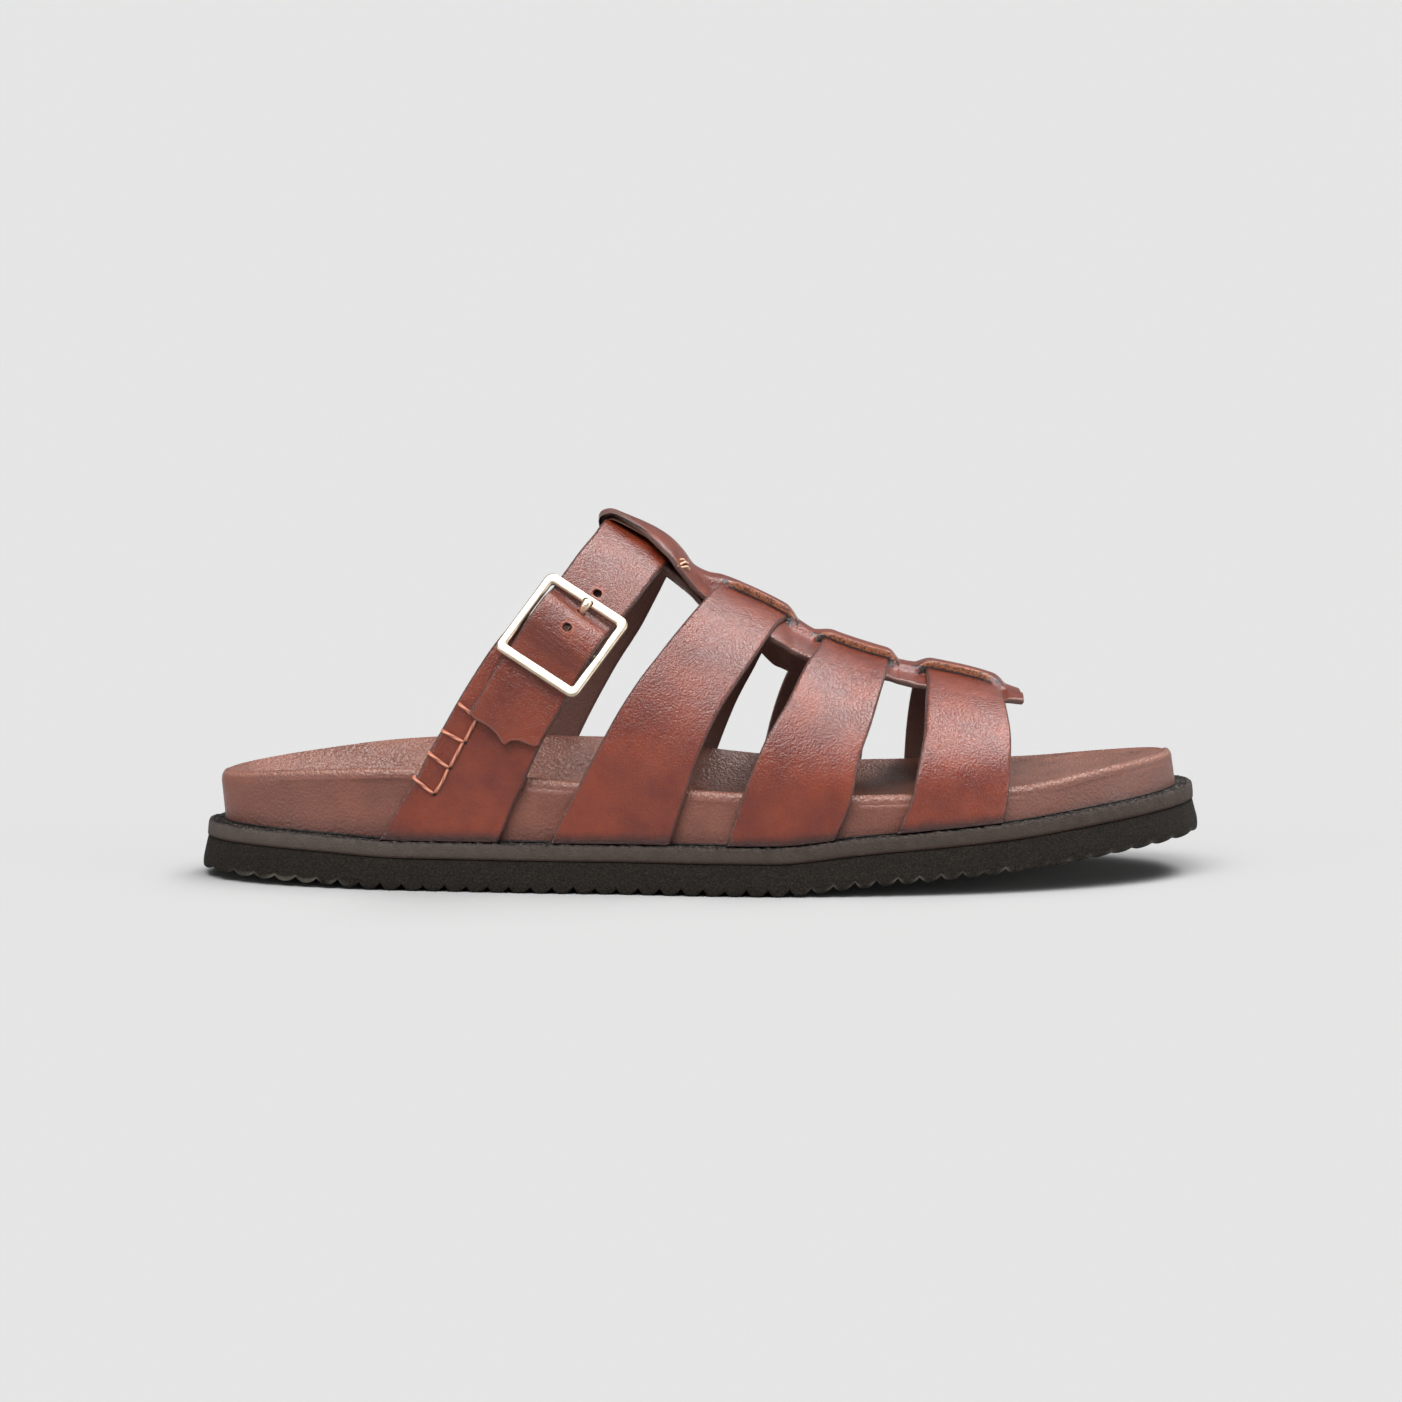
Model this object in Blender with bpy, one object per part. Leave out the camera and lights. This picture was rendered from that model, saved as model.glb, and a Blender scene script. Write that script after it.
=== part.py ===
"""Fisherman sandal: a backless slide for the right foot.

Four leather straps cross the foot and are woven through one spine strip. The
rear strap is adjustable: it passes through a buckle frame held by a billet on
the outer side. The footbed is a dished, leather-wrapped slab on a midsole band
and a rippled outsole.

Axes: +X to the toe, +Y to the inner side of the foot, +Z up. The origin is on
the floor below the middle of the outsole. Sizes are in millimetres and become
metres when a mesh is made.
"""
import math

import bmesh
import bpy
import numpy as np

for leftover in list(bpy.data.objects):
    bpy.data.objects.remove(leftover, do_unlink=True)

MM = 0.001

# ---- driving dimensions -------------------------------------------------
LENGTH = 290.0            # outsole, heel to toe
FULLNESS = 2.3            # superellipse power of the heel and toe rounding
OUTSOLE_THICK = 9.1       # tooth tip to outsole top
MIDSOLE_TOP = 13.8        # above the tooth tips
TOOTH_COUNT = 47
TOOTH_DEPTH = 2.0
FLARE = 1.8               # the outsole foot stands out past its top edge
FOOTBED_INSET = 6.4       # footbed wall, in from the outsole foot
HEEL_LEAN = 1.2           # footbed wall leans out at the heel
TOE_LEAN = -1.0           # and in at the toe
BED_DISH = 8.0            # footbed thickness under the foot
SEAM = 0.25               # clearance between stacked layers
STRAP_SEAM = 0.4          # clearance from the straps to the footbed wall and midsole
RIDGE_Y = 9.3             # crest of the instep, towards the inner side
WALL_TURN = 0.2           # share of the turn that runs down the footbed wall
STRAP_THICK = 2.2
SPINE_THICK = 2.6
SLIT_SLOPE = 1.2          # width over which it steps down to its margins

FRAME_ACROSS = 28.0       # buckle frame, outside
FRAME_OPENING = 22.6
FRAME_SHIFT = 0.4         # the frame sits towards the strap's rear edge
FRAME_END_BAR = 3.0
FRAME_THICK = 1.9
FRAME_CORNER = 2.6
AXLE_RADIUS = 0.95        # hidden centre bar
PRONG_RADIUS = 0.8
HOLE_RADIUS = 1.3
HOLE_PITCH = 8.0

# Sole outline. along, centre line, half width
OUTLINE = np.array([
    (-145, 2.3, 47.0),
    (-100, 1.3, 46.0),
    (-70, -0.7, 43.0),
    (-30, -3.2, 42.5),
    (0, -3.7, 46.0),
    (45, -0.2, 52.5),
    (90, 3.3, 55.5),
    (145, 8.3, 56.0),
])

# Heights along the sole. along, spring, outer rim, inner rim
HEIGHTS = np.array([
    (-145, 2.4, 30.0, 29.5),
    (-110, 1.2, 33.6, 33.5),
    (-85, 0.0, 34.6, 36.0),
    (-65, 0.0, 33.6, 36.9),
    (-30, 0.0, 31.2, 36.5),
    (0, 0.0, 29.5, 33.0),
    (20, 0.0, 28.7, 30.4),
    (45, 2.5, 28.3, 28.3),
    (90, 6.2, 29.8, 29.3),
    (120, 9.9, 34.4, 32.6),
    (145, 12.8, 37.0, 36.8),
])

# Crest of the instep. along, height
CREST = np.array([
    (-100, 149.0),
    (-60, 124.0),
    (-28, 102.4),
    (-14, 95.7),
    (0, 85.6),
    (20, 75.7),
    (40, 65.2),
    (60, 59.2),
    (80, 54.6),
    (100, 48.6),
])

# Strap edges. turn, rear, front. The turn is 0 on the crest, 1 at the footbed
# rim and 1.2 on the midsole, negative on the outer side.
STRAP_1 = np.array([
    (-1.0, -75.0, -52.0),
    (-0.9, -68.0, -45.1),
    (-0.8, -60.5, -38.5),
    (-0.7, -53.3, -32.8),
    (-0.6, -46.9, -26.9),
    (-0.5, -41.4, -21.1),
    (-0.4, -37.0, -16.6),
    (-0.2, -30.5, -10.7),
    (0.0, -27.8, -7.8),
    (0.2, -29.2, -8.2),
    (0.4, -33.8, -11.2),
    (0.6, -40.3, -16.7),
    (0.8, -50.0, -26.3),
    (1.0, -61.5, -36.8),
    (1.2, -71.5, -46.5),
])
BILLET = np.array([
    (-1.2, -92.1, -57.7),
    (-1.0, -81.2, -50.6),
    (-0.9, -73.1, -45.0),
    (-0.8, -65.2, -38.3),
    (-0.7, -57.3, -32.6),
    (-0.6, -48.2, -26.7),
    (-0.5, -42.0, -21.2),
])
STRAP_2 = np.array([
    (-1.2, -43.0, -8.6),
    (-1.0, -35.4, -4.3),
    (-0.9, -29.6, -1.5),
    (-0.8, -23.9, 1.9),
    (-0.7, -17.9, 5.7),
    (-0.6, -12.1, 9.9),
    (-0.4, -3.8, 17.0),
    (-0.2, 2.0, 21.6),
    (0.0, 5.3, 25.1),
    (0.2, 5.0, 23.6),
    (0.4, 1.5, 20.6),
    (0.6, -5.0, 16.3),
    (0.8, -15.0, 10.2),
    (1.0, -24.5, 4.4),
    (1.2, -34.0, -1.0),
])
STRAP_3 = np.array([
    (-1.2, 7.4, 38.4),
    (-1.0, 11.4, 42.6),
    (-0.8, 17.6, 45.0),
    (-0.6, 24.6, 48.7),
    (-0.4, 29.3, 51.5),
    (-0.2, 33.4, 53.7),
    (0.0, 35.3, 54.4),
    (0.2, 33.4, 54.0),
    (0.4, 30.0, 52.8),
    (0.6, 25.4, 51.0),
    (0.8, 21.5, 49.0),
    (1.0, 18.0, 47.5),
    (1.2, 13.0, 44.0),
])
STRAP_4 = np.array([
    (-1.2, 55.8, 86.1),
    (-1.0, 59.6, 87.5),
    (-0.8, 61.9, 88.2),
    (-0.6, 63.8, 88.6),
    (-0.4, 64.5, 88.0),
    (-0.2, 65.2, 87.2),
    (0.0, 65.2, 86.6),
    (0.2, 64.2, 87.0),
    (0.4, 62.8, 87.8),
    (0.6, 61.8, 88.3),
    (0.8, 61.0, 88.5),
    (1.0, 60.4, 88.3),
    (1.2, 58.4, 87.3),
])

# The spine's path: a return layer under the first strap, the fold round its
# rear edge, then the run over and between the straps to the front tab.
# along; lifts to mid thickness: middle, outer margin, inner margin; then the
# reach from the ridge: outer, inner.
SPINE = np.array([
    (1.5, -1.9, -2.3, -2.4, 17.5, 12.0),
    (-4.0, -1.2, -0.85, -1.2, 15.5, 11.0),
    (-11.0, -0.85, -0.85, -0.85, 12.5, 10.5),
    (-20.0, -0.85, -0.85, -0.85, 9.0, 10.5),
    (-26.4, -0.85, -0.85, -0.85, 5.5, 11.0),
    (-28.0, -0.3, -0.1, -0.3, 4.5, 11.0),
    (-28.8, 1.1, 1.3, 1.1, 4.5, 11.0),
    (-28.0, 2.5, 2.8, 2.5, 4.5, 11.0),
    (-26.4, 3.1, 3.7, 3.1, 5.5, 11.0),
    (-18.0, 3.35, 4.6, 3.35, 12.5, 10.5),
    (-12.0, 3.2, 4.5, 3.2, 17.5, 10.5),
    (-8.0, 2.5, 3.2, 2.5, 19.0, 10.5),
    (-3.0, 0.9, 1.2, 0.9, 19.0, 11.5),
    (1.0, 1.4, 0.0, 0.2, 18.8, 13.0),
    (5.0, 2.7, -0.8, -0.8, 18.8, 15.0),
    (9.0, 3.1, -0.8, -0.8, 19.5, 17.0),
    (15.0, 3.2, -0.8, -0.8, 21.5, 20.0),
    (22.5, 3.1, -0.8, -0.8, 24.5, 24.0),
    (27.5, 0.9, -1.3, -1.7, 24.5, 24.5),
    (32.0, 0.6, -1.3, -1.7, 24.0, 24.0),
    (37.5, 2.9, -0.8, -0.8, 22.5, 22.5),
    (45.0, 3.05, -0.8, -0.8, 20.5, 21.0),
    (53.0, 3.0, -0.8, -0.8, 19.0, 20.0),
    (57.5, 0.6, -1.2, -1.5, 18.0, 19.0),
    (62.0, 0.9, -1.2, -1.5, 18.0, 19.0),
    (67.0, 3.1, -0.8, -0.8, 18.5, 19.0),
    (76.0, 3.2, -0.8, -0.8, 19.0, 19.0),
    (84.0, 3.0, -0.6, -0.6, 19.0, 19.0),
    (88.5, 1.0, 1.2, 0.6, 18.5, 18.5),
    (92.8, 0.8, 2.0, 0.8, 18.0, 18.0),
])

# The spine's slits, as distances from the ridge. along, outer, inner
SLITS = np.array([
    (-8.0, 10.5, 10.5),
    (3.0, 6.8, 10.5),
    (15.0, 5.6, 10.5),
    (24.0, 6.5, 10.5),
    (34.0, 7.2, 10.5),
    (44.0, 7.6, 10.5),
    (56.0, 7.0, 10.5),
    (64.0, 6.0, 10.5),
    (78.0, 5.6, 10.5),
    (86.0, 7.0, 10.5),
    (93.0, 8.0, 10.5),
])


# ---- sizes worked out from the tables -----------------------------------
def follow(table, column, x):
    """Smooth reading of a table column at x, with no overshoot.

    Between rows the value is a cubic whose end slopes are the harmonic mean of
    the neighbouring slopes, and level where they change sign.
    """
    knots = table[:, 0].astype(float)
    values = table[:, column].astype(float)
    width = np.diff(knots)
    slope = np.diff(values) / width
    before, after = slope[:-1], slope[1:]
    same = before * after > 0
    safe_before = np.where(same, before, 1.0)
    safe_after = np.where(same, after, 1.0)
    heavy = 2 * width[1:] + width[:-1]
    light = width[1:] + 2 * width[:-1]
    inner = np.where(same, (heavy + light) / (heavy / safe_before + light / safe_after), 0.0)
    tangent = np.concatenate([slope[:1], inner, slope[-1:]])
    x = np.clip(np.asarray(x, float), knots[0], knots[-1])
    k = np.clip(np.searchsorted(knots, x, side="right") - 1, 0, len(width) - 1)
    t = (x - knots[k]) / width[k]
    start = (2 * t**3 - 3 * t**2 + 1) * values[k] + (t**3 - 2 * t**2 + t) * width[k] * tangent[k]
    end = (3 * t**2 - 2 * t**3) * values[k + 1] + (t**3 - t**2) * width[k] * tangent[k + 1]
    return start + end


def outline_y(x, side, inset):
    """Y of the sole outline at x, drawn in by inset; side -1 outer, 1 inner."""
    reach = LENGTH / 2 - inset
    full = (1 - np.clip(np.abs(x / reach), 0, 1) ** FULLNESS) ** (1 / FULLNESS)
    return follow(OUTLINE, 1, x) + side * (follow(OUTLINE, 2, x) - inset) * full


def spring(x):
    """Height of the tooth tips over the floor: heel lift and toe spring."""
    return follow(HEIGHTS, 1, x)


def rim_height(x, side):
    """Height of the footbed rim on either side."""
    return np.where(side < 0, follow(HEIGHTS, 2, x), follow(HEIGHTS, 3, x))


def wall_lean(x):
    """How far the footbed rim stands out past its foot."""
    return HEEL_LEAN + (x / LENGTH + 0.5) * (TOE_LEAN - HEEL_LEAN)


def last_surface(x, turn):
    """Point on the last: a wall up the footbed, then a half ellipse over it."""
    x, turn = np.broadcast_arrays(np.asarray(x, float), np.asarray(turn, float))
    side = np.where(turn < 0, -1, 1)
    foot_y = outline_y(x, side, FOOTBED_INSET - STRAP_SEAM)
    rim_y = foot_y + side * wall_lean(x)
    rim_z = rim_height(x, side) - 2.0
    angle = np.clip(np.abs(turn), 0, 1) * math.pi / 2
    down = np.clip((np.abs(turn) - 1) / WALL_TURN, 0, 1)
    y = RIDGE_Y + (rim_y - RIDGE_Y) * np.sin(angle) + (foot_y - rim_y) * down
    arch_z = rim_z + (follow(CREST, 1, x) - rim_z) * np.cos(angle)
    z = arch_z + (spring(x) + MIDSOLE_TOP + STRAP_SEAM - rim_z) * down
    return np.stack([x, y, z], -1)


def on_last(x, turn, lift):
    """Point at a lift above the last, along its outward normal."""
    along = last_surface(x + 0.5, turn) - last_surface(x - 0.5, turn)
    round_ = last_surface(x, turn + 0.003) - last_surface(x, turn - 0.003)
    normal = np.cross(along, round_)
    normal /= np.linalg.norm(normal, axis=-1, keepdims=True)
    return last_surface(x, turn) + normal * np.asarray(lift, float)[..., None]


def strap_row(table, turn, across, skew=0.0):
    """x and turn across a strap, from its rear edge (0) to its front (1)."""
    rear = follow(table, 1, turn + skew / 2)
    front = follow(table, 2, turn - skew / 2)
    return rear + (front - rear) * across, turn + skew * (0.5 - across)


# ---- meshes and materials -----------------------------------------------
def material(name, colour, roughness, metallic=0.0):
    """A plain Principled material."""
    made = bpy.data.materials.new(name)
    made.use_nodes = True
    shader = made.node_tree.nodes["Principled BSDF"]
    shader.inputs["Base Color"].default_value = (*colour, 1.0)
    shader.inputs["Roughness"].default_value = roughness
    shader.inputs["Metallic"].default_value = metallic
    return made


def loft(name, rows, finish=None, endless=False):
    """A closed solid through rows of ring points, shape (rows, ring, 3).

    Each end is capped by a ladder of quads between a ring's two halves, unless
    the rows are endless and the last joins the first.
    """
    rows = np.asarray(rows, float) * MM
    count, ring = rows.shape[:2]
    faces = []
    for i in range(count if endless else count - 1):
        low, high = i * ring, (i + 1) % count * ring
        for j in range(ring):
            k = (j + 1) % ring
            faces.append((low + j, low + k, high + k, high + j))
    for start, flip in () if endless else ((0, True), ((count - 1) * ring, False)):
        for j in range(ring // 2 - 1):
            quad = (start + j, start + j + 1, start + ring - 2 - j, start + ring - 1 - j)
            faces.append(quad[::-1] if flip else quad)
    mesh = bpy.data.meshes.new(name)
    mesh.from_pydata(rows.reshape(-1, 3).tolist(), [], faces)
    shape = bmesh.new()
    shape.from_mesh(mesh)
    bmesh.ops.recalc_face_normals(shape, faces=shape.faces)
    shape.to_mesh(mesh)
    shape.free()
    made = bpy.data.objects.new(name, mesh)
    bpy.context.scene.collection.objects.link(made)
    if finish:
        mesh.materials.append(finish)
        mesh.shade_smooth()
        mesh.set_sharp_from_angle(angle=math.radians(35))
    return made


def combine(target, tool, operation):
    """Exact boolean of a hidden tool solid on the target."""
    tool.hide_render = True
    tool.display_type = "WIRE"
    step = target.modifiers.new(tool.name, "BOOLEAN")
    step.operation = operation
    step.solver = "EXACT"
    step.object = tool


def slab(x, low, high, inset_low, inset_high):
    """Rings of four corners for a sole layer; low and high are above the spring."""
    rows = []
    for inset, height, order in ((inset_low, low, (-1, 1)), (inset_high, high, (1, -1))):
        station = x * (LENGTH / 2 - inset) / (LENGTH / 2)
        for side in order:
            rows.append(np.stack([station, outline_y(station, side, inset),
                                  spring(station) + height], -1))
    return np.stack(rows, 1)


def stations(count):
    """Stations along the sole, closer together at the heel and toe."""
    turn = np.linspace(0.02, 0.98, count) * math.pi
    bend = np.cos(turn)
    return -np.sign(bend) * np.abs(bend) ** (1.7 / FULLNESS) * LENGTH / 2


leather = material("strap leather", (0.26, 0.075, 0.035), 0.45)
wrap = material("footbed leather", (0.20, 0.085, 0.062), 0.6)
band = material("midsole", (0.09, 0.068, 0.055), 0.75)
rubber = material("outsole rubber", (0.022, 0.017, 0.013), 0.85)
metal = material("pale gold", (0.80, 0.72, 0.58), 0.25, 1.0)


# ---- outsole: one ripple tooth repeated from heel to toe ----------------
TOOTH = ((0.0, 0.0), (0.30, 0.0), (0.62, 1.0), (0.76, 1.0))
pitch = LENGTH / TOOTH_COUNT
edges = [((k + at) * pitch - LENGTH / 2, rise) for k in range(TOOTH_COUNT) for at, rise in TOOTH]
edges[0] = (0.3 - LENGTH / 2, 0.0)
edges.append((LENGTH / 2 - 0.9, 0.0))
edges.append((LENGTH / 2 - 0.3, 0.0))
tooth_x = np.array([edge[0] for edge in edges])
tooth_z = np.array([edge[1] for edge in edges]) * TOOTH_DEPTH
outsole = loft("outsole", slab(tooth_x, tooth_z, OUTSOLE_THICK, 0.0, FLARE), rubber)

# ---- midsole: the band between outsole and footbed ----------------------
band_x = stations(44)
midsole = loft("midsole", slab(band_x, OUTSOLE_THICK + SEAM, MIDSOLE_TOP,
                               FLARE, FLARE + 0.4), band)


# ---- footbed: wall, rounded rim and dish --------------------------------
def footbed_ring(inset, rise_from_rim, toward_bed, count=60):
    """A ring inside the outline. toward_bed is 0 at the rim and 1 on the bed."""
    turn = (np.arange(count) + 0.5) * 2 * math.pi / count
    bend, side = np.cos(turn), np.where(turn < math.pi, 1, -1)
    lean = wall_lean(np.sign(bend) * LENGTH / 2 * np.abs(bend))
    reach = LENGTH / 2 - FOOTBED_INSET + lean - inset
    x = np.sign(bend) * np.abs(bend) ** (2 / FULLNESS) * reach
    half = follow(OUTLINE, 2, x) - FOOTBED_INSET + lean - inset
    y = follow(OUTLINE, 1, x) + side * half * np.abs(np.sin(turn)) ** (2 / FULLNESS)
    rim = rim_height(x, side) + rise_from_rim
    bed = spring(x) + MIDSOLE_TOP + BED_DISH
    return np.stack([x, y, rim + (bed - rim) * toward_bed], -1)


foot_ring = footbed_ring(0.0, 0.0, 0.0)
foot_ring[:, 0] *= 1 - wall_lean(foot_ring[:, 0]) * np.abs(foot_ring[:, 0]) / (LENGTH / 2) ** 2
foot_ring[:, 2] = spring(foot_ring[:, 0]) + MIDSOLE_TOP + SEAM
foot_side = np.where(np.arange(60) < 30, 1, -1)
foot_ring[:, 1] = outline_y(foot_ring[:, 0], foot_side, FOOTBED_INSET)
footbed = loft("footbed", [
    foot_ring,
    footbed_ring(0.1, -3.0, 0.0),
    footbed_ring(0.7, -1.0, 0.0),
    footbed_ring(2.0, 0.0, 0.0),
    footbed_ring(4.0, -0.5, 0.0),
    footbed_ring(8.0, 0.0, 0.35),
    footbed_ring(14.0, 0.0, 0.78),
    footbed_ring(23.0, 0.0, 1.0),
], wrap)

# ---- upper: four straps and the spine, joined where they cross ----------
ACROSS = np.array([0.0, 0.33, 0.67, 1.0])
TIP_ACROSS = np.array([0.0, 0.08, 0.28, 0.40, 0.5, 0.60, 0.72, 0.92, 1.0])
TIP_SHAPE = np.array([0.0, 0.22, 0.30, 0.55, 1.0, 0.55, 0.30, 0.22, 0.0])
WALL_TURNS = (-1.2, -1.1, -1.03, -0.97)
ARCH_TURNS = tuple(np.linspace(-0.9, 0.9, 25))


def strap_rings(table, turns, lifts, across=ACROSS, thick=STRAP_THICK, skew=0.0, reach=None):
    """Rings round a strap: its under face from rear to front, then its top face.

    A skewed row has its front edge lower round the last than its rear edge.
    """
    rings = []
    for index, turn in enumerate(turns):
        row_skew = skew * np.clip((turn + 1.05) / 0.2, 0, 1) * float(turn < -0.45)
        x, row_turn = strap_row(table, turn, across, row_skew)
        if reach is not None:
            row_turn = row_turn - reach[index] * TIP_SHAPE
        under = on_last(x, row_turn, np.full(len(across), lifts[index]))
        over = on_last(x, row_turn, np.full(len(across), lifts[index] + thick))
        rings.append(np.concatenate([under, over[::-1]]))
    return rings


def spine_rings():
    """Rings along the spine's path, thick across the path's own direction."""
    step_along = np.gradient(SPINE[:, 0])
    step_lift = np.gradient(SPINE[:, 1])
    rings = []
    for index, (along, middle, outer, inner, reach_out, reach_in) in enumerate(SPINE):
        slit_out = min(follow(SLITS, 1, along), 0.6 * reach_out)
        slit_in = min(follow(SLITS, 2, along), 0.6 * reach_in)
        margin_out, margin_in = slit_out + SLIT_SLOPE, slit_in + SLIT_SLOPE
        offsets = np.array([-reach_out, -(reach_out + margin_out) / 2, -margin_out, -slit_out,
                            -slit_out / 2, 0.0, slit_in / 2, slit_in, margin_in,
                            (reach_in + margin_in) / 2, reach_in])
        lift = np.array([outer] * 3 + [middle] * 5 + [inner] * 3)
        length = math.hypot(step_along[index], step_lift[index])
        out_along = -step_lift[index] / length * SPINE_THICK / 2
        out_lift = step_along[index] / length * SPINE_THICK / 2
        side = np.where(offsets < 0, -1, 1)
        span = side * (outline_y(along, side, FOOTBED_INSET) - RIDGE_Y)
        turn = np.arcsin(offsets / span) * 2 / math.pi
        low = on_last(along - out_along, turn, lift - out_lift)
        high = on_last(along + out_along, turn, lift + out_lift)
        rings.append(np.concatenate([low, high[::-1]]))
    return rings


def strap_point(table, turn, lift):
    """A point on a strap's centre line."""
    x = (follow(table, 1, turn) + follow(table, 2, turn)) / 2
    return on_last(x, turn, lift)


# The buckle lies flat between its end bars, over the rear strap's centre line.
TOP_BAR_TURN = -0.53
LOW_BAR_TURN = -0.752
AXLE_TURN = (TOP_BAR_TURN + LOW_BAR_TURN) / 2
BILLET_GAP = 0.25         # between the billet and the free end on it
BUCKLE_TWIST = math.radians(4)      # the frame's rear side lies closer to the foot
TOP_LIFT = STRAP_THICK + 1.15 + FRAME_THICK / 2
LOW_LIFT = 2 * STRAP_THICK + 2 * BILLET_GAP + 0.75 + FRAME_THICK / 2
top_bar = strap_point(STRAP_1, TOP_BAR_TURN, TOP_LIFT)
low_bar = strap_point(STRAP_1, LOW_BAR_TURN, LOW_LIFT)
centre = (top_bar + low_bar) / 2
down = (low_bar - top_bar) / np.linalg.norm(low_bar - top_bar)
rear_edge = strap_row(STRAP_1, AXLE_TURN, 0.0, 0.05)
front_edge = strap_row(STRAP_1, AXLE_TURN, 1.0, 0.05)
across_raw = on_last(*front_edge, TOP_LIFT) - on_last(*rear_edge, TOP_LIFT)
across_raw = across_raw - down * (across_raw @ down)
sideways = across_raw / np.linalg.norm(across_raw)
outward = np.cross(sideways, down)
outward *= math.copysign(1.0, -outward[1])
sideways = sideways * math.cos(BUCKLE_TWIST) + outward * math.sin(BUCKLE_TWIST)
outward = np.cross(sideways, down) * np.sign(np.cross(sideways, down) @ outward)
BAR_SPAN = np.linalg.norm(low_bar - top_bar)


def buckle_point(side, along, out):
    """A point in the buckle's own axes, from the frame's middle."""
    side, along, out = np.broadcast_arrays(side, along, out)
    return centre + side[..., None] * sideways + along[..., None] * down + out[..., None] * outward


def rod(name, path, radius, finish=None, sides=8):
    """A round bar through points in the buckle's side plane (along, out)."""
    path = np.asarray(path, float)
    heading = np.gradient(path, axis=0)
    heading /= np.linalg.norm(heading, axis=1, keepdims=True)
    turn = (np.arange(sides) + 0.5) * 2 * math.pi / sides
    rings = []
    for (along, out), (run, rise) in zip(path, heading):
        swing = np.cos(turn) * radius
        rings.append(buckle_point(np.sin(turn) * radius, along - rise * swing, out + run * swing))
    return loft(name, rings, finish)


def pin(name, along, out, radius, half_width, sides=16, finish=None):
    """A cylinder lying across the buckle."""
    turn = (np.arange(sides) + 0.5) * 2 * math.pi / sides
    rings = [buckle_point(end, along + np.cos(turn) * radius, out + np.sin(turn) * radius)
             for end in (-half_width, half_width)]
    return loft(name, rings, finish)


def block(name, side, along, out):
    """A box in the buckle's axes between pairs of limits."""
    rings = [buckle_point(np.array([side[0], side[1], side[1], side[0]]), end,
                          np.array([out[0], out[0], out[1], out[1]])) for end in along]
    return loft(name, rings)


# ---- upper ---------------------------------------------------------------
upper = loft("upper", spine_rings(), leather)
FREE_END = np.array([
    # turn, lift of the under face, reach of the tip
    (-0.888, 2.45, 0.030),
    (-0.875, 2.45, 0.026),
    (-0.850, 2.45, 0.012),
    (-0.820, 2.45, 0.0),
    (-0.780, 2.45, 0.0),
    (-0.742, 2.5, 0.0),
    (-0.715, 2.9, 0.0),
    (-0.690, 4.2, 0.0),
    (-0.662, 5.6, 0.0),
    (-0.636, 5.9, 0.0),
    (-0.610, 5.5, 0.0),
    (-0.585, 3.6, 0.0),
    (-0.562, 0.9, 0.0),
    (-0.548, 0.1, 0.0),
    (-0.530, 0.0, 0.0),
    (-0.490, 0.0, 0.0),
    (-0.440, 0.0, 0.0),
])
upper_turns = tuple(turn for turn in ARCH_TURNS if turn > -0.42) + (0.97, 1.03, 1.1, 1.2)
first_turns = np.concatenate([FREE_END[:, 0], upper_turns])
first_lifts = np.concatenate([FREE_END[:, 1], np.zeros(len(upper_turns))])
first_reach = np.concatenate([FREE_END[:, 2], np.zeros(len(upper_turns))])
first = loft("strap 1", strap_rings(STRAP_1, first_turns, first_lifts, TIP_ACROSS,
                                    skew=0.05, reach=first_reach))
combine(upper, first, "UNION")
for number, table in ((2, STRAP_2), (3, STRAP_3), (4, STRAP_4)):
    turns = WALL_TURNS + ARCH_TURNS + (0.97, 1.03, 1.1, 1.2)
    strap = loft(f"strap {number}", strap_rings(table, turns, np.zeros(len(turns))))
    combine(upper, strap, "UNION")

# Three holes along the rear strap; the prong leans through the middle one.
HOLE_ALONG = 3.4 - BAR_SPAN / 2
for number, lean in ((-1, 0.0), (0, 0.725), (1, 0.0)):
    along = HOLE_ALONG + number * HOLE_PITCH
    punch = [(along - lean * out, out) for out in (-5.0, 7.0)]
    hole = rod(f"hole {number + 2}", punch, HOLE_RADIUS)
    combine(upper, hole, "DIFFERENCE")

# ---- buckle billet: the lower strap that holds the frame ----------------
AXLE_OUT = -1.75
LOOP_RADIUS = 2.35
LOOP_BORE = 1.2
BILLET_TURNS = (-1.2, -1.1, -1.03, -0.97, -0.9, -0.85, -0.8, -0.75, -0.7, -0.655)
billet = loft("buckle_billet", strap_rings(BILLET, BILLET_TURNS, np.zeros(len(BILLET_TURNS)),
                                           skew=0.05), leather)
combine(billet, pin("billet loop", 0.0, AXLE_OUT, LOOP_RADIUS, 10.2), "UNION")
combine(billet, pin("loop bore", 0.0, AXLE_OUT, LOOP_BORE, 14.0), "DIFFERENCE")
combine(billet, block("prong slot", (-1.6, 1.6), (-4.5, 3.5), (-6.0, 4.0)), "DIFFERENCE")


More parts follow.
